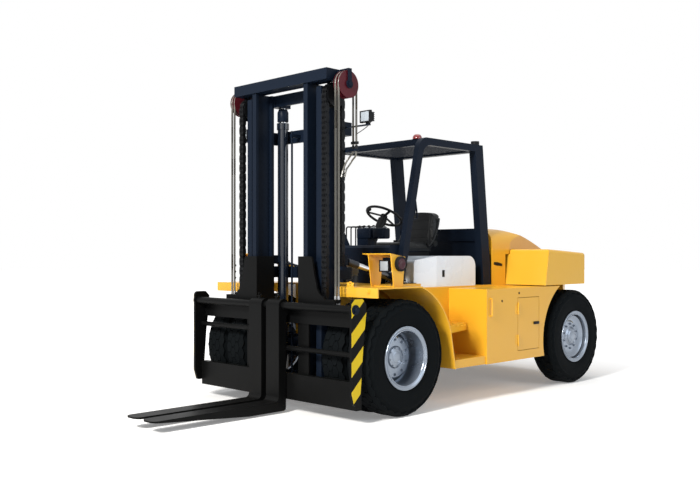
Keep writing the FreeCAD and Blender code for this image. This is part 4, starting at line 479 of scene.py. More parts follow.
def pipe(bm, points, radius, sides=8, steps=5):
    """A pipe or hose: a ring that is extruded from place to place and turned along the way."""
    path = smooth_path(points, steps) if steps else [Vector(p) for p in points]
    aims = [(after - before).normalized() for before, after in zip(path[:1] + path, path[1:] + path[-1:])]
    start = Matrix.Translation(spot(*path[0])) @ pointing(aims[0])
    made = bmesh.ops.create_circle(bm, cap_ends=False, radius=radius * MM, segments=sides, matrix=start)
    ring = list({edge for vert in made["verts"] for edge in vert.link_edges})
    first = list(ring)
    for before, after, aim, next_aim in zip(path, path[1:], aims, aims[1:]):
        grown = bmesh.ops.extrude_edge_only(bm, edges=ring)["geom"]
        verts = [item for item in grown if isinstance(item, bmesh.types.BMVert)]
        edges = [item for item in grown if isinstance(item, bmesh.types.BMEdge)]
        ring = [edge for edge in edges if all(vert in verts for vert in edge.verts)]
        turn = aim.rotation_difference(next_aim).to_matrix().to_4x4()
        move = Matrix.Translation(spot(*after)) @ turn @ Matrix.Translation(-spot(*before))
        bmesh.ops.transform(bm, matrix=move, verts=verts)
    bmesh.ops.holes_fill(bm, edges=first + ring)


# %% Finishing a piece
def add_object(name, data):
    made = bpy.data.objects.new(name, data)
    bpy.context.scene.collection.objects.link(made)
    return made


def finished(bm, name, material, body="chassis", replaced=(), sharp=35.0):
    """Closes a bmesh into a named object that has its finish and rides on its body, unless that is None."""
    bmesh.ops.remove_doubles(bm, verts=bm.verts, dist=1e-6)
    bmesh.ops.recalc_face_normals(bm, faces=bm.faces)
    for face in bm.faces:
        face.smooth = True
    for edge in bm.edges:
        edge.smooth = edge.calc_face_angle(0.0) < math.radians(sharp)
    mesh = bpy.data.meshes.new(name)
    bm.to_mesh(mesh)
    triangles = sum(len(face.verts) - 2 for face in bm.faces)
    bm.free()
    mesh.materials.append(material)
    made = add_object(name, mesh)
    if body:
        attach(made, body)
    if replaced:
        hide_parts(*replaced)
    print(f"{name}: {triangles} triangles on {body or 'two bodies'}")
    return made

# %% [markdown]
# ## Tyres
# A heavy pneumatic tyre is a carcass with a rubber tread. A bump texture would leave its outline smooth,
# and the tread shows in outline here, so it is modelled. The carcass is spun from its section. Three
# staggered rows of six-sided blocks fit together as a honeycomb does, with a lug leaning over each
# shoulder. They end at the radius that the frame gave the tyre, so the truck still stands on its floor.

# %% Tyre carcass and tread
SIDES = (("left", 1), ("right", -1))
WHEEL_Z = 509
OUTER_WHEEL_X = 985.5
INNER_WHEEL_X = 676.5
REAR_AXLE = 2800
CROWN = 497
CARCASS = [
    (256, -98), (262, -108), (300, -121), (372, -128.5), (420, -127), (424, -129), (432, -129),
    (436, -126), (466, -116), (484, -104), (CROWN, -84),
]
CARCASS = CARCASS + [(radius, -side) for radius, side in reversed(CARCASS)] + [(256, -98)]
BLOCKS_ROUND = 30
ROWS = ((-57, 0.5), (0, 0.0), (57, 0.5))
BLOCK_RADIUS = 499
BLOCK_SIZE = (70, 104, 14)
LUG_RADIUS = 485
LUG_ACROSS = 101
LUG_SIZE = (54, 114, 16)
LUG_LEAN = 0.62


def tread_block(bm, centre, angle, across, radius, size, lean=0.0):
    """One block of rubber on the crown. Size is (along the axle, around, height)."""
    base = (
        Matrix.Translation(spot(*centre)) @ Matrix.Rotation(angle, 4, "X")
        @ Matrix.Translation(Vector((across, 0, radius)) * MM) @ Matrix.Rotation(lean, 4, "Y")
    )
    stretch = Matrix.Diagonal((size[0] * MM, size[1] * MM, 1, 1)) @ Matrix.Rotation(math.pi / 2, 4, "Z")
    bmesh.ops.create_cone(
        bm, cap_ends=True, segments=6, radius1=0.545, radius2=0.525, depth=size[2] * MM, matrix=base @ stretch
    )


def tyre(name, centres, replaced, body):
    bm = bmesh.new()
    for centre in centres:
        lathe(bm, CARCASS, centre, (1, 0, 0), 72)
        for step in range(BLOCKS_ROUND):
            for across, stagger in ROWS:
                angle = 2 * math.pi * (step + stagger) / BLOCKS_ROUND
                tread_block(bm, centre, angle, across, BLOCK_RADIUS, BLOCK_SIZE)
            for side in (-1, 1):
                angle = 2 * math.pi * step / BLOCKS_ROUND
                tread_block(bm, centre, angle, side * LUG_ACROSS, LUG_RADIUS, LUG_SIZE, side * LUG_LEAN)
    finished(bm, name, rubber, body, replaced, sharp=28)


for side_name, side in SIDES:
    front = [(side * OUTER_WHEEL_X, 0, WHEEL_Z), (side * INNER_WHEEL_X, 0, WHEEL_Z)]
    tyre(f"{side_name}_front_treaded_tyres", front, [f"{side_name}_front_tyres"], f"{side_name}_front_wheel")
    rear = [(side * OUTER_WHEEL_X, REAR_AXLE, WHEEL_Z)]
    tyre(f"{side_name}_rear_treaded_tyre", rear, [f"{side_name}_rear_tyre"], f"{side_name}_rear_wheel")

# %% [markdown]
# ## Wheel bolts and lock rings
# Each disc is clamped by a ring of nuts on studs, and the hub carries a bolted cap. The drive hub is a
# broad drum, because a reduction gear turns inside it, and the steered disc is dished. Both are spun, as on
# a lathe, and nuts are six-sided cones placed around a circle. Two rings in the edge of the rim catch the
# light, and the valve reaches through a slot near the top of the disc. The slot is not cut: a thin black
# block on the disc stands for its dark, as painted shade.

# %% Wheel fittings
def meshes(count):
    return [bmesh.new() for _ in range(count)]


def wheel_fittings(side_name, side, end, centre_y, disc, disc_x, stud_ring, hub_x, cap_ring):
    label = f"{side_name}_{end}"
    wheel = f"{label}_wheel"
    out = (side, 0, 0)
    centre = (side * disc_x, centre_y, WHEEL_Z)
    hub_face = (side * hub_x, centre_y, WHEEL_Z)
    nuts, rings, valve, stem = meshes(4)
    for place in around(10, centre, out, stud_ring):
        bolt(nuts, place, out, 12)
        rod(nuts, place, place + Vector(out) * 20, 6.5, 8)
    for place in around(8, hub_face, out, cap_ring, 0.2):
        bolt(nuts, place, out, 5)
    finished(nuts, f"{wheel}_nuts", silver, wheel)
    hoop(rings, (side * 1110, centre_y, WHEEL_Z), out, 268, 5, 72, 8)
    hoop(rings, (side * 1101, centre_y, WHEEL_Z), out, 243, 6, 72, 8)
    lathe(rings, [(0, 8), (30, 7), (48, 4), (54, 1), (54, -1), (0, -1)], hub_face, out, 32)
    lathe(rings, disc, centre, out, 72)
    finished(rings, f"{label}_lock_rings", silver, wheel)
    height = WHEEL_Z + stud_ring + 22
    low_x, high_x = sorted((side * (disc_x - 1), side * (disc_x + 1.5)))
    # A thin black block on the disc stands for the dark of the valve hole: painted shade.
    block(valve, (low_x, centre_y - 6, height - 4), (high_x, centre_y + 6, height + 18))
    finished(valve, f"{label}_valve_hole_shade", plastic, wheel)
    bent = [(disc_x, height + 8), (disc_x + 14, height + 10), (disc_x + 34, height - 6)]
    pipe(stem, [(side * x, centre_y, z) for x, z in bent], 4, 8)
    finished(stem, f"{label}_valve", brass, wheel)


DRIVE_HUB = [(100, 0), (176, 0), (186, -8), (186, -124), (100, -124), (100, 0)]
STEER_DISC = [(80, 22), (104, 3), (160, 0), (196, 4), (226, 24), (226, -20), (80, -20), (80, 22)]
for side_name, side in SIDES:
    wheel_fittings(side_name, side, "front", 0, DRIVE_HUB, 976, 152, 997, 84)
    wheel_fittings(side_name, side, "rear", REAR_AXLE, STEER_DISC, 1046, 132, 1080.5, 62)

# %% [markdown]
# ## Leaf chains
# A leaf chain is packs of thin waisted plates on pins. An array of one link would run straight, but the
# links turn over the sheave, so a loop lays a pack between each pair of pins on a path, four plates and
# three in turn. No joint can roll a chain over its sheave, so the straight runs are put on no body.

# %% Chain plates and pins
CHAIN_X = 577.5
SHEAVE_Y, SHEAVE_Z = -366.5, 2800
CHAIN_TURN = 97
PITCH = 45.0
CHAIN_FOOT = 1000
CHAIN_TAIL = 1300
PLATE_HALF = 21
PLATE_WIDTH = 6
WAIST = 0.97
WIDE_PACK = (-26, -9, 9, 26)
NARROW_PACK = (-18, 0, 18)


def link_outline(x, start, end, half):
    """The waisted outline of a chain plate between two pins in a plane across the machine."""
    start, end = Vector(start), Vector(end)
    along = (end - start).normalized()
    across = Vector((0, -along.z, along.y))
    points = []
    for centre, direction in ((end, 1), (start, -1)):
        for angle in (-60, 0, 60):
            a = math.radians(angle)
            points.append(centre + (along * math.cos(a) + across * math.sin(a)) * half * direction)
    middle = (start + end) / 2
    points.insert(3, middle + across * half * WAIST)
    points.append(middle - across * half * WAIST)
    return [(x, p.y, p.z) for p in points]


def chain(bm, path, x):
    """Packs of plates along pins, and the pins."""
    for index, (start, end) in enumerate(zip(path, path[1:])):
        for offset in WIDE_PACK if index % 2 else NARROW_PACK:
            outline = link_outline(x + offset - PLATE_WIDTH / 2, start, end, PLATE_HALF)
            plate(bm, outline, (PLATE_WIDTH, 0, 0))
    for place in path:
        rod(bm, (x - 29, place.y, place.z), (x + 29, place.y, place.z), 7, 8)


def straight(y, low, high):
    """Pins on a straight run, about a pitch apart."""
    count = round((high - low) / PITCH)
    return [Vector((0, y, low + (high - low) * step / count)) for step in range(count + 1)]


def stretched(bm, name, material, replaced):
    """A run that replaces a frame node and is put on no body."""
    made = finished(bm, name, material, None, [replaced])
    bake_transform(made)


front_y = SHEAVE_Y - CHAIN_TURN
rear_y = SHEAVE_Y + CHAIN_TURN
bend = [
    Vector((0, SHEAVE_Y - CHAIN_TURN * math.cos(a), SHEAVE_Z + CHAIN_TURN * math.sin(a)))
    for a in [math.pi * step / 7 for step in range(8)]
]
front_chains, rear_chains, bends = meshes(3)
for side in (1, -1):
    chain(front_chains, straight(front_y, CHAIN_FOOT, SHEAVE_Z), side * CHAIN_X)
    chain(rear_chains, straight(rear_y, CHAIN_TAIL, SHEAVE_Z), side * CHAIN_X)
    chain(bends, bend, side * CHAIN_X)
stretched(
    front_chains, "front_leaf_chains", oiled, "chain_front_runs"
)
stretched(rear_chains, "rear_leaf_chains", oiled, "chain_rear_runs")
finished(bends, "chain_plates_over_sheaves", oiled, "inner_mast", ["chain_bends"])

# %% [markdown]
# ## Mast hoses
# Two hoses a side run up from the carriage, over a red pulley and down behind the rail. A curve with a
# round bevel would do, but each straight run is a stack of short rods, so that it has rings along its
# length. Ferrules and a clamp hold the ends.

# %% Hose runs and fittings
HOSE_XS = (704, 743)
HOSE_FRONT_Y = -463
HOSE_REAR_Y = -247
PULLEY_Z = 2880
FRONT_HOSE_FOOT = 1020
REAR_HOSE_FOOT = 2330
HOSE_RADIUS = 9.5
front_hoses, rear_hoses, ferrules = meshes(3)


def hose_run(bm, x, y, foot, pieces):
    """A straight hose up to the pulleys, in short rods."""
    step = (PULLEY_Z - foot) / pieces
    for piece in range(pieces):
        rod(bm, (x, y, foot + piece * step), (x, y, foot + piece * step + step), HOSE_RADIUS, 10)


for x in [side * hose_x for side in (1, -1) for hose_x in HOSE_XS]:
    hose_run(front_hoses, x, HOSE_FRONT_Y, FRONT_HOSE_FOOT, 12)
    hose_run(rear_hoses, x, HOSE_REAR_Y, REAR_HOSE_FOOT, 4)
    rod(ferrules, (x, HOSE_FRONT_Y, 985), (x, HOSE_FRONT_Y, 1050), 12.5, 12)
    rod(ferrules, (x, HOSE_FRONT_Y, 975), (x, HOSE_FRONT_Y, 992), 14, 6)
stretched(
    front_hoses, "front_mast_hoses", highlight_painted_hose, "hose_front_runs",
)
stretched(
    rear_hoses, "rear_mast_hoses", highlight_painted_hose, "hose_rear_runs",
)
finished(ferrules, "carriage_hose_fittings", bright, "carriage")


def mirrored(side, places):
    """Places given for the left side, moved to the right when side is -1."""
    return [(side * x, y, z) for x, y, z in places]


lower_hoses, lower_fittings = meshes(2)
for side in (1, -1):
    for x, sweep in zip(HOSE_XS, (0, 26)):
        tail = [
            (x, HOSE_REAR_Y, 2334), (x - 8, -246, 2300 - sweep), (x - 55, -240, 2262 - sweep),
            (x - 75, -262, 2215 - sweep), (x - 70, -300, 2150), (x - 75, -318, 2085),
        ]
        pipe(lower_hoses, mirrored(side, tail), 8, 8)
        rod(lower_fittings, (side * x, HOSE_REAR_Y, 2316), (side * x, HOSE_REAR_Y, 2362), 12.5, 12)
    block(lower_fittings, (side * 724 - 36, -262, 2372), (side * 724 + 36, -232, 2396), 3)
finished(lower_hoses, "hose_tails", highlight_painted_hose, "mast")
finished(lower_fittings, "hose_tail_fittings", oiled, "mast")

# %% [markdown]
# ## Pulleys and rod heads
# Each red pulley turns on a pin, held by a round cap with a six-sided head. Each lift rod pushes the inner
# mast up through a rounded head, which rests on the barrel when the mast is down. Three bolts show at the
# foot of each rail. All of these are turned or six-sided, so rods, bolts and a spin make them.

# %% Pulley pins, rod heads and rail bolts
PULLEY_Y = -355
ROD_HEAD = [(0, 0), (50, 0), (54, 6), (54, 92), (40, 124), (0, 128)]
pins, mast_bolts, rod_heads = meshes(3)
for side in (1, -1):
    rod(pins, (side * 765, PULLEY_Y, PULLEY_Z), (side * 772, PULLEY_Y, PULLEY_Z), 38, 24)
    rod(pins, (side * 772, PULLEY_Y, PULLEY_Z), (side * 786, PULLEY_Y, PULLEY_Z), 22, 6)
    lathe(rod_heads, ROD_HEAD, (side * 326, -170, 2683), (0, 0, 1), 32)
    for z in (1180, 1240, 1300):
        bolt(mast_bolts, (side * 700, -453, z), (0, -1, 0), 8)
finished(pins, "pulley_pins", dark, "inner_mast")
finished(rod_heads, "lift_rod_heads", dark, "inner_mast")
finished(mast_bolts, "mast_rail_bolts", oiled, "mast")

# %% [markdown]
# ## Carriage
# The forks hang on the upper shaft. Each shaft is kept in its cheek by a washer and a nut, and each chain
# ends in a threaded anchor with two nuts. The frame has the shafts and the forks, so only the fasteners are
# added, each on the body it moves with.

# %% Shaft ends, chain anchors and fork pins
SHAFT_Y, SHAFT_Z = -623, 955
CHAIN_ANCHOR_Y = -463
FORK_X = 121.5
carriage_bits, anchors = meshes(2)
for side in (1, -1):
    rod(carriage_bits, (side * 1098, SHAFT_Y, SHAFT_Z), (side * 1106, SHAFT_Y, SHAFT_Z), 42, 24)
    bolt(carriage_bits, (side * 1106, SHAFT_Y, SHAFT_Z), (side, 0, 0), 24)
    x = side * CHAIN_X
    rod(anchors, (x, CHAIN_ANCHOR_Y, 930), (x, CHAIN_ANCHOR_Y, 1004), 15, 16)
    for low in (940, 966):
        rod(anchors, (x, CHAIN_ANCHOR_Y, low), (x, CHAIN_ANCHOR_Y, low + 20), 24, 6)
    block(anchors, (x - 28, -480, 984), (x + 28, -446, 1012), 4)
finished(carriage_bits, "shaft_end_nuts", dark, "carriage")
finished(anchors, "chain_anchor_bolts", oiled, "carriage")
for side_name, side in SIDES:
    fork_pin = bmesh.new()
    x = side * FORK_X
    rod(fork_pin, (x, SHAFT_Y, 1005), (x, SHAFT_Y, 1026), 14, 16)
    rod(fork_pin, (x, SHAFT_Y, 1026), (x, SHAFT_Y, 1036), 22, 16)
    hoop(fork_pin, (x, SHAFT_Y, 1046), (1, 0, 0), 14, 3.5, 20, 6)
    finished(fork_pin, f"{side_name}_fork_pin", fork_black, f"{side_name}_fork")

# %% [markdown]
# ## Lamps
# The mast carries two square work lamps, and the two front brackets a headlamp and a round turn lamp each.
# A lamp could glow, but unlit lamps read by their glass, so each has a lens in a black bezel, proud of its
# housing by a few millimetres, and a thin wire.

# %% Lenses, bezels and wires
MAST_LAMP_X = 842
HEADLAMP_X = 918
TURN_LAMP_Y, TURN_LAMP_Z = -24, 1326
TURN_LENS = [(0, 6), (26, 5), (30, 7), (44, 5), (50, 0), (0, 0)]
lenses, bezels, turn_lenses, wires = meshes(4)
mast_lenses, mast_bezels, mast_wires = meshes(3)


def bezel(bm, x, z, front, rear, upright, tall, bar, wide):
    """Two uprights and two bars around a lens. Each pair is (distance from the middle, half width)."""
    for edge in (-1, 1):
        place = x + edge * upright[0]
        block(bm, (place - upright[1], front, z - tall), (place + upright[1], rear, z + tall), 1.5)
        place = z + edge * bar[0]
        block(bm, (x - wide, front, place - bar[1]), (x + wide, rear, place + bar[1]), 1.5)


for side in (1, -1):
    out = (side, 0, 0)
    x = side * MAST_LAMP_X
    block(mast_lenses, (x - 48, -245, 2562), (x + 48, -240, 2646), 2)
    for rise in range(5):
        block(mast_bezels, (x - 44, -176, 2566 + rise * 18), (x + 44, -166, 2572 + rise * 18))
    bezel(mast_bezels, x, 2604, -247, -241, (54, 6), 48, (46, 5), 60)
    wire = [(842, -172, 2600), (820, -150, 2560), (770, -160, 2520), (690, -190, 2470)]
    pipe(mast_wires, mirrored(side, wire), 4, 6)
    x = side * HEADLAMP_X
    block(lenses, (x - 48, -79, 1265), (x + 48, -75, 1349), 2)
    bezel(bezels, x, 1307, -84, -75, (52, 5), 48, (47, 5), 57)
    lathe(turn_lenses, TURN_LENS, (side * 1078, TURN_LAMP_Y, TURN_LAMP_Z), out, 32)
    hoop(bezels, (side * 1077, TURN_LAMP_Y, TURN_LAMP_Z), (1, 0, 0), 58, 7, 40, 8)
    for place in around(3, (side * 1080, TURN_LAMP_Y, TURN_LAMP_Z), out, 58, 0.5):
        bolt(bezels, place, out, 4)
    wire = [(918, 14, 1300), (915, 45, 1270), (900, 60, 1190), (880, 50, 1122)]
    pipe(wires, mirrored(side, wire), 4, 6)
finished(mast_lenses, "mast_lamp_lenses", clear, "mast")
finished(mast_bezels, "mast_lamp_bezels", plastic, "mast")
finished(mast_wires, "mast_lamp_wires", hose, "mast")
finished(lenses, "headlamp_lenses", clear)
finished(bezels, "lamp_bezels", plastic)
finished(turn_lenses, "turn_lamp_lenses", turn_red)
finished(wires, "headlamp_wires", hose)

DOME = [(0, 50), (18, 48), (34, 40), (44, 26), (47, 8), (47, 0), (0, 0)]
beacon = bmesh.new()
lathe(beacon, DOME, (480, 882, 2545), (0, 0, 1), 32)
finished(beacon, "beacon_dome", beacon_red, replaced=["roof_beacon"])

# %% [markdown]
# ## Tilt cylinders
# Each tilt rod slides out through a gland nut, and two hoses feed the barrel. Their places are counted
# along the cylinder's own axis, which leans, so that they stay on it. A lug and a boss stand on the front
# of the deck.

# %% Glands, hoses and deck fittings
TILT_X = 483.5


def along_tilt(distance, x, lift=0.0):
    """A place on the tilt cylinder's axis, counted from its rear pin."""
    back, rise = math.cos(TILT_SLOPE), math.sin(TILT_SLOPE)
    return (x, TILT_PIN_Y - distance * back + lift * rise, TILT_PIN_Z + distance * rise + lift * back)


glands, tilt_hoses, tilt_fittings = meshes(3)
for side in (1, -1):
    x = side * TILT_X
    rod(glands, along_tilt(352, x), along_tilt(374, x), 53, 24)
    rod(glands, along_tilt(374, x), along_tilt(390, x), 42, 6)
    for distance, inward in ((60, -20), (320, 0)):
        rod(tilt_fittings, along_tilt(distance, x, 40), along_tilt(distance, x, 70), 13, 6)
        sweep = [
            along_tilt(distance, x, 66), along_tilt(distance + 4, x - side * 12, 92),
            along_tilt(distance - 60, x - side * 52, 100), (x - side * 120, 470 + inward, 1215),
            (x - side * 170, 480 + inward, 1120),
        ]
        pipe(tilt_hoses, sweep, 9, 8)
finished(glands, "tilt_glands", plastic, "tilt_barrels")
finished(tilt_fittings, "tilt_hose_fittings", brass, "tilt_barrels")
finished(tilt_hoses, "tilt_hoses", hose, "tilt_barrels")

LUG_X = 782
boss, lug = meshes(2)
rod(boss, (1000, -366, 1092), (1000, -374, 1092), 24, 24)
rod(boss, (1000, -374, 1092), (1000, -384, 1092), 12, 6)
finished(boss, "deck_boss", yellow)
hoop(lug, (LUG_X, -362, 1158), (0, 1, 0), 13, 5, 24, 8)
block(lug, (LUG_X - 40, -366, 1122), (LUG_X + 40, -358, 1140), 2)
for x in (LUG_X - 26, LUG_X + 26):
    block(lug, (x - 14, -366, 1136), (x + 14, -358, 1166), 2)
finished(lug, "deck_lug", yellow)

# %% [markdown]
# ## Driver's place
# Pods with dials stand on the cowl before the steering wheel, which has a horn button and a knob for
# turning it with one hand. Pedals come up by a ribbed mat, and a bent handle on the guard's leg helps the
# driver up. All are small and seen from afar, so softened blocks, pipes and spun shapes are enough.

# %% Dash, wheel knob, pedals and mat
WHEEL_LEAN = math.radians(30)
HUB_Y, HUB_Z = 919, 1800
GUARD_HANDLE = [
    (572, 672, 1955), (572, 716, 1975), (572, 742, 1945), (572, 770, 1780), (572, 745, 1745),
    (572, 700, 1750),
]
HORN = [(0, 20), (22, 18), (34, 10), (38, 0), (0, 0)]
KNOB = [(0, 58), (14, 55), (21, 44), (20, 32), (9, 20), (9, 0), (0, 0)]
dash, dial_rims, dial_glass, leg_handle, wheel_bits = meshes(5)
block(dash, (-80, 590, 1560), (116, 690, 1672), 18, 3)
block(dash, (140, 590, 1560), (300, 690, 1668), 18, 3)
for x in (-34, 68, 220):
    hoop(dial_rims, (x, 692, 1655), (0, 1, 0), 30, 4, 28, 8)
    rod(dial_glass, (x, 688, 1655), (x, 694, 1655), 28, 28)
finished(dash, "dash_pods", dark)
pipe(leg_handle, GUARD_HANDLE, 9, 10)
finished(leg_handle, "guard_leg_handle", dark)
finished(dial_rims, "dial_rims", bright)
finished(dial_glass, "dial_glass", clear)

wheel_axis = Vector((0, math.sin(WHEEL_LEAN), math.cos(WHEEL_LEAN)))
lathe(wheel_bits, HORN, (0, HUB_Y, HUB_Z), wheel_axis, 28)
knob_place = (-160, HUB_Y - 80 * math.cos(WHEEL_LEAN), HUB_Z + 80 * math.sin(WHEEL_LEAN))
lathe(wheel_bits, KNOB, knob_place, wheel_axis, 20)
finished(wheel_bits, "wheel_knob_and_horn", plastic, "steering_wheel")

pedals, mat = meshes(2)
for x in (-160, 120, 230):
    rod(pedals, (x, 700, 1130), (x, 790, 1225), 8, 10)
    for rib in range(5):
        block(pedals, (x - 35, 772 + rib * 9, 1196 + rib * 13), (x + 35, 782 + rib * 9, 1208 + rib * 13), 2)
for rib in range(30):
    block(mat, (-590 + rib * 40, 704, 1124), (-566 + rib * 40, 735, 1130), 1)
finished(pedals, "pedals", rubber)
finished(mat, "floor_mat", rubber)

# %% [markdown]
# ## Body fittings
# The service door has a latch and two barrel hinges, the body has key locks and finger slots, and grab
# handles flank the steps. The finger slots are not cut: thin black plates on the panels stand for their
# dark, as painted shade. The frame's plain handles are replaced by pipes along a smooth path, because a
# bent bar has round corners. Raised studs keep boots from slipping.

# %% Latches, handles, hinges and tread studs
HANDLE_Y = 1230
HANDLE_ENDS = (812, 978)
HANDLE = [
    (1106, HANDLE_Y, 812), (1122, HANDLE_Y, 812), (1129, HANDLE_Y, 820), (1129, HANDLE_Y, 895),
    (1129, HANDLE_Y, 970), (1122, HANDLE_Y, 978), (1106, HANDLE_Y, 978),
]
HOOD_X = 599
SLOT = [
    (HOOD_X, 2000, 1296), (HOOD_X, 2060, 1284), (HOOD_X, 2152, 1280), (HOOD_X, 2154, 1304),
    (HOOD_X, 2070, 1322), (HOOD_X, 2004, 1322),
]
handles, locks_and_slot_shades, hinges, studs, latch = meshes(5)
for side in (1, -1):
    pipe(handles, mirrored(side, HANDLE), 7, 10)
    for z in HANDLE_ENDS:
        rod(handles, (side * 1108, HANDLE_Y, z), (side * 1113, HANDLE_Y, z), 14, 16)
    for y, z in ((1421, 949), (1716, 1018))[: 2 if side > 0 else 1]:
        rod(locks_and_slot_shades, (side * 1108, y, z), (side * 1112.5, y, z), 11, 16)
    # A thin black plate for the finger slot on the hood: painted shade, for the dark inside it.
    low_x, high_x = sorted((side * HOOD_X, side * (HOOD_X + 3)))
    block(locks_and_slot_shades, (low_x, 1124, 1181), (high_x, 1162, 1250), 1.2)
    for low_z, high_z in ((428, 433), (738, 743)):
        for row in range(3):
            for column in range(6):
                x = side * (700 + column * 70)
                y = 760 + row * 60 + column % 2 * 30
                rod(studs, (x, y, low_z), (x, y, high_z), 12, 10, 9)
    # A slanted black plate for the long slot on the hood side: painted shade, for the dark inside it.
    plate(locks_and_slot_shades, mirrored(side, SLOT), (side * 4, 0, 0))
block(latch, (1111, 1975, 689), (1119, 2075, 717), 3)
rod(latch, (1112, 1990, 703), (1122, 1990, 703), 8, 16)
for z in (520, 890):
    rod(hinges, (1116, 1700, z - 32), (1116, 1700, z + 32), 7, 12)
finished(handles, "bent_grab_handles", yellow, replaced=["grab_handles"])
finished(locks_and_slot_shades, "locks_and_painted_slot_shades", plastic)
finished(latch, "door_latch", plastic, "side_door")
finished(hinges, "door_hinges", yellow, "side_door")
finished(studs, "tread_studs", yellow)

# %% [markdown]
# ## Rear end
# The counterweight's radiator duct is closed by a grille. A texture of bars would be flat, so thin blocks
# cross three uprights inside the duct's mouth. The tow pin has a ring to pull it by, and the guard stands
# on bolted feet.

# %% Grille, tow pin and guard bolts
grille, tow_ring, guard_bolts = meshes(3)
for bar in range(13):
    z = 745 + bar * 29
    block(grille, (-298, 3424, z - 3), (298, 3442, z + 5), 1)
for x in (-200, 0, 200):
    block(grille, (x - 6, 3418, 722), (x + 6, 3438, 1118), 1)
finished(grille, "radiator_grille", dark)
for side in (1, -1):
    for y in (500, 560):
        rod(guard_bolts, (side * 598, y, 1160), (side * 606, y, 1160), 9, 6)
hoop(tow_ring, (0, 3375, 528), (0, 1, 0), 24, 5, 28, 8)
finished(tow_ring, "tow_pin_ring", oiled)
finished(guard_bolts, "guard_foot_bolts", oiled)

# %% [markdown]
# ## Seat
# The seat is the one soft part. Its cover is sewn over foam, so it swells between its seams. Subdivision
# would round it evenly, so a cloth is used: each cushion starts 10 mm inside its frame shape as an even
# skin, is held along its seams and base, and is blown up from inside, within a set cap. The seams are then
# laid on the cover as fine cords, found by looking at it from outside.

# %% Foam under a sewn cover
SEAT_VOXEL = 0.006
SEAT_FRAMES = 20
SEAT_SHRINK = 0.010
SWELL_CAP = 0.024
# Seams are counted in millimetres from the low corner of each cushion.
CUSHION_SEAMS_X, CUSHION_SEAMS_Y = (95, 375), (150, 290)
BACK_SEAMS_X, BACK_SEAMS_Z = (85, 385), (110, 200, 290)
SEAM_HALF_WIDTH = 5.0
CLOTH = {
    "quality": 5, "mass": 0.3, "tension_stiffness": 12, "compression_stiffness": 12, "shear_stiffness": 6,
    "bending_stiffness": 0.6, "use_pressure": True, "uniform_pressure_force": 4.0, "pin_stiffness": 1.0,
}


def inflate(name, node, held):
    """Swells a copy of a frame shape between the places where it is held, and returns it."""
    source = nodes[node]
    mesh = source.data.copy()
    mesh.transform(source.matrix_world)
    low, high = (Vector(corner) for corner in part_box(node))
    centre, size = (low + high) / 2, high - low
    scale = Matrix.Diagonal((*[1 - 2 * SEAT_SHRINK / side for side in size], 1))
    mesh.transform(Matrix.Translation(centre) @ scale @ Matrix.Translation(-centre))
    bm = bmesh.new()
    bm.from_mesh(mesh)
    bmesh.ops.remove_doubles(bm, verts=bm.verts, dist=1e-5)
    bmesh.ops.recalc_face_normals(bm, faces=bm.faces)
    bm.to_mesh(mesh)
    bm.free()
    cover = add_object(name, mesh)
    bpy.context.view_layer.objects.active = cover
    remesh = cover.modifiers.new("skin", "REMESH")
    remesh.mode = "VOXEL"
    remesh.voxel_size = SEAT_VOXEL
    bpy.ops.object.modifier_apply(modifier=remesh.name)
    rest = [vert.co.copy() for vert in cover.data.vertices]
    group = cover.vertex_groups.new(name="held")
    fixed = [i for i, place in enumerate(rest) if held((place - low) / MM, (high - place) / MM)]
    group.add(fixed, 1.0, "ADD")
    cloth = cover.modifiers.new("swell", "CLOTH")
    settings = cloth.settings
    for key, value in CLOTH.items():
        setattr(settings, key, value)
    settings.effector_weights.gravity = 0.0
    settings.vertex_group_mass = group.name
    cloth.point_cache.frame_start = 1
    cloth.point_cache.frame_end = SEAT_FRAMES
    for step in range(1, SEAT_FRAMES + 1):
        bpy.context.scene.frame_set(step)
    bpy.ops.object.modifier_apply(modifier=cloth.name)
    bpy.context.scene.frame_set(1)
    for vert, before in zip(cover.data.vertices, rest):
        moved = vert.co - before
        if moved.length > SWELL_CAP:
            vert.co = before + moved * (SWELL_CAP / moved.length)
    smooth = cover.modifiers.new("finer", "SUBSURF")
    smooth.levels = smooth.render_levels = 1
    bpy.ops.object.modifier_apply(modifier=smooth.name)
    for polygon in cover.data.polygons:
        polygon.use_smooth = True
    cover.data.materials.clear()
    cover.data.materials.append(vinyl)
    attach(cover, "chassis")
    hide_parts(node)
    print(f"{name}: {len(cover.data.vertices)} vertices, {len(fixed)} held")
    return cover


def near(value, lines):
    return any(abs(value - line) < SEAM_HALF_WIDTH for line in lines)


def within(value, ends):
    return ends[0] < value < ends[1]


def cushion_held(low, high):
    cross_seam = within(low.x, CUSHION_SEAMS_X) and near(low.y, CUSHION_SEAMS_Y)
    return low.z < 24 or (high.z < 40 and (cross_seam or near(low.x, CUSHION_SEAMS_X)))


def back_held(low, high):
    cross_seam = within(low.x, BACK_SEAMS_X) and near(low.z, BACK_SEAMS_Z)
    return high.y < 24 or (low.y < 60 and (cross_seam or near(low.x, BACK_SEAMS_X)))


cushion = inflate("seat_cushion_cover", "seat_cushion", cushion_held)
back = inflate("seat_back_cover", "seat_back", back_held)

# %% Seams, piping, side frames, recliner knobs and buckles
PIPING = [(216, 985, 1478), (222, 1010, 1484), (222, 1380, 1484), (216, 1405, 1478)]
SIDE_FRAME = [
    (224, 1538, 1786), (232, 1512, 1716), (236, 1468, 1616), (238, 1418, 1542), (238, 1346, 1488),
]
seat_bits, belt, seams = meshes(3)
for side in (-1, 1):
    pipe(seat_bits, mirrored(side, PIPING), 4, 6)
    pipe(seat_bits, mirrored(side, SIDE_FRAME), 12, 8)
    rod(seat_bits, (side * 236, 1440, 1520), (side * 262, 1440, 1520), 34, 24, 28)
    block(belt, (side * 232 - 10, 1330, 1480), (side * 232 + 10, 1382, 1560), 4)


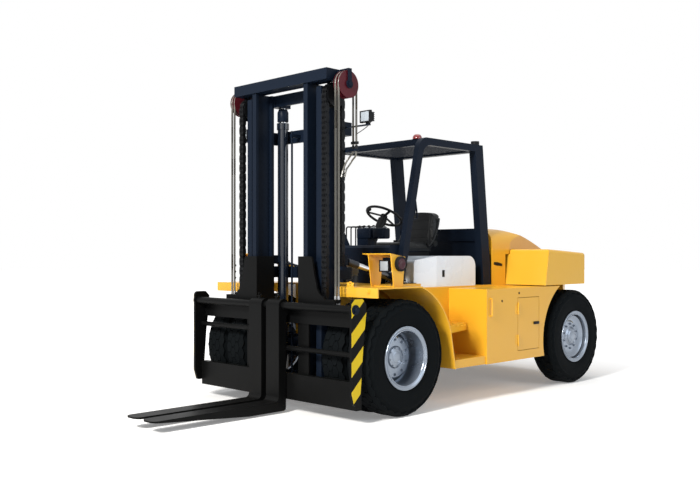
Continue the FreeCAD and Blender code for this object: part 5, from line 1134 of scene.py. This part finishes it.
def seam(cover, start, end, direction, steps=10):
    """A cord laid on a cover under the line between two places, found by looking along a direction."""
    start, end = Vector(start), Vector(end)
    laid = []
    for step in range(steps + 1):
        found, place, _, _ = cover.ray_cast(spot(*start.lerp(end, step / steps)), Vector(direction))
        if found:
            laid.append((place.x / MM, (place.y - AXLE_Y) / MM, place.z / MM))
    pipe(seams, laid, 3, 6, 0)


BACKWARDS, DOWN = (0, 1, 0), (0, 0, -1)
SEAT_X, CUSHION_Y, BACK_Z = -235, 965, 1475
back_low, back_high = [SEAT_X + across for across in BACK_SEAMS_X]
cushion_low, cushion_high = [SEAT_X + across for across in CUSHION_SEAMS_X]
for x in (back_low, back_high):
    seam(back, (x, 1300, 1500), (x, 1300, 1840), BACKWARDS)
for x in (cushion_low, cushion_high):
    seam(cushion, (x, 995, 1700), (x, 1390, 1700), DOWN)
for z in [BACK_Z + up for up in BACK_SEAMS_Z]:
    seam(back, (back_low, 1300, z), (back_high, 1300, z), BACKWARDS)
for y in [CUSHION_Y + behind for behind in CUSHION_SEAMS_Y]:
    seam(cushion, (cushion_low, y, 1700), (cushion_high, y, 1700), DOWN)
finished(seams, "seat_seams", vinyl)
finished(seat_bits, "seat_piping_and_frames", vinyl)
finished(belt, "belt_buckles", plastic)

# %% [markdown]
# ## Studio
# The floor is white and keeps the truck's shadow. A strong soft key lights it from ahead, weaker lamps from
# its left and above, and an even world fills the rest. A world bright enough to look white would wash out
# the shadow, so camera, mirror and transmission rays see it at full white while it lights the truck less.
# The floor glows to the eye in the same way, more so far off, where no shadow lies.

# %% Floor
def white_to_the_eye(tree):
    path = add_node(tree, "ShaderNodeLightPath").outputs
    seen = maths(tree, "MAXIMUM", path["Is Camera Ray"], path["Is Transmission Ray"])
    return maths(tree, "MAXIMUM", seen, path["Is Glossy Ray"])


CLEAR_RADIUS = 2.5
FADE_LENGTH = 4.0
floor_mesh = bpy.data.meshes.new("studio_floor")
bm = bmesh.new()
bmesh.ops.create_grid(bm, x_segments=1, y_segments=1, size=60)
bm.to_mesh(floor_mesh)
bm.free()
floor = add_object("studio_floor", floor_mesh)
floor_paint = bpy.data.materials.new("studio floor")
floor_paint.use_nodes = True
tree = floor_paint.node_tree
bsdf = tree.nodes["Principled BSDF"]
bsdf.inputs["Base Color"].default_value = (0.92, 0.92, 0.92, 1)
bsdf.inputs["Roughness"].default_value = 1.0
bsdf.inputs["Specular IOR Level"].default_value = 0.0
x, y, z = parts_of(tree, add_node(tree, "ShaderNodeTexCoord").outputs["Object"])
squares = maths(tree, "ADD", maths(tree, "POWER", x, 2.0), maths(tree, "POWER", y, 2.0))
past_truck = maths(tree, "SUBTRACT", maths(tree, "SQRT", squares), CLEAR_RADIUS)
far = maths(tree, "DIVIDE", past_truck, FADE_LENGTH, clamp=True)
strength = maths(tree, "ADD", maths(tree, "MULTIPLY", far, 0.75), 0.22)
glow = maths(tree, "MULTIPLY", white_to_the_eye(tree), strength)
bsdf.inputs["Emission Color"].default_value = (1, 1, 1, 1)
tree.links.new(glow, bsdf.inputs["Emission Strength"])
floor_mesh.materials.append(floor_paint)
print("floor:", floor.name)

# %% World and lamps
LIT_STRENGTH = 0.24
SEEN_STRENGTH = 1.0
world = bpy.data.worlds.new("studio")
bpy.context.scene.world = world
world.use_nodes = True
tree = world.node_tree
background = tree.nodes["Background"]
background.inputs["Color"].default_value = (1, 1, 1, 1)
strength = mix_number(tree, white_to_the_eye(tree), LIT_STRENGTH, SEEN_STRENGTH)
tree.links.new(strength, background.inputs["Strength"])


def lamp(name, place, target, size, power, colour=(1, 1, 1)):
    data = bpy.data.lights.new(name, "AREA")
    data.energy = power
    data.size = size
    data.color = colour
    made = add_object(name, data)
    made.location = place
    made.rotation_euler = (Vector(target) - Vector(place)).to_track_quat("-Z", "Y").to_euler()
    print(f"{name} lamp: {power} W")


lamp("key", (2.4, -10.0, 6.6), (0, 0.4, 0.9), 2.0, 1650, (1.0, 0.97, 0.92))
lamp("side", (9.0, 1.5, 5.0), (0, 0, 1.0), 6.0, 230, (0.84, 0.92, 1.0))
lamp("top", (0.0, 1.0, 9.0), (0, 0, 0), 7.0, 260)

# %% Camera
camera_data = bpy.data.cameras.new("camera")
camera_data.sensor_width = 36
camera_data.lens = 44.54
camera_data.shift_y = 0.01357
camera = add_object("camera", camera_data)
camera.location = (6.038, -6.403, 1.420)
camera.rotation_euler = (math.radians(90), 0, math.radians(44.8))
bpy.context.scene.camera = camera
bpy.context.scene.view_settings.view_transform = "Standard"
print("camera:", tuple(camera.location), f"{camera_data.lens} mm")
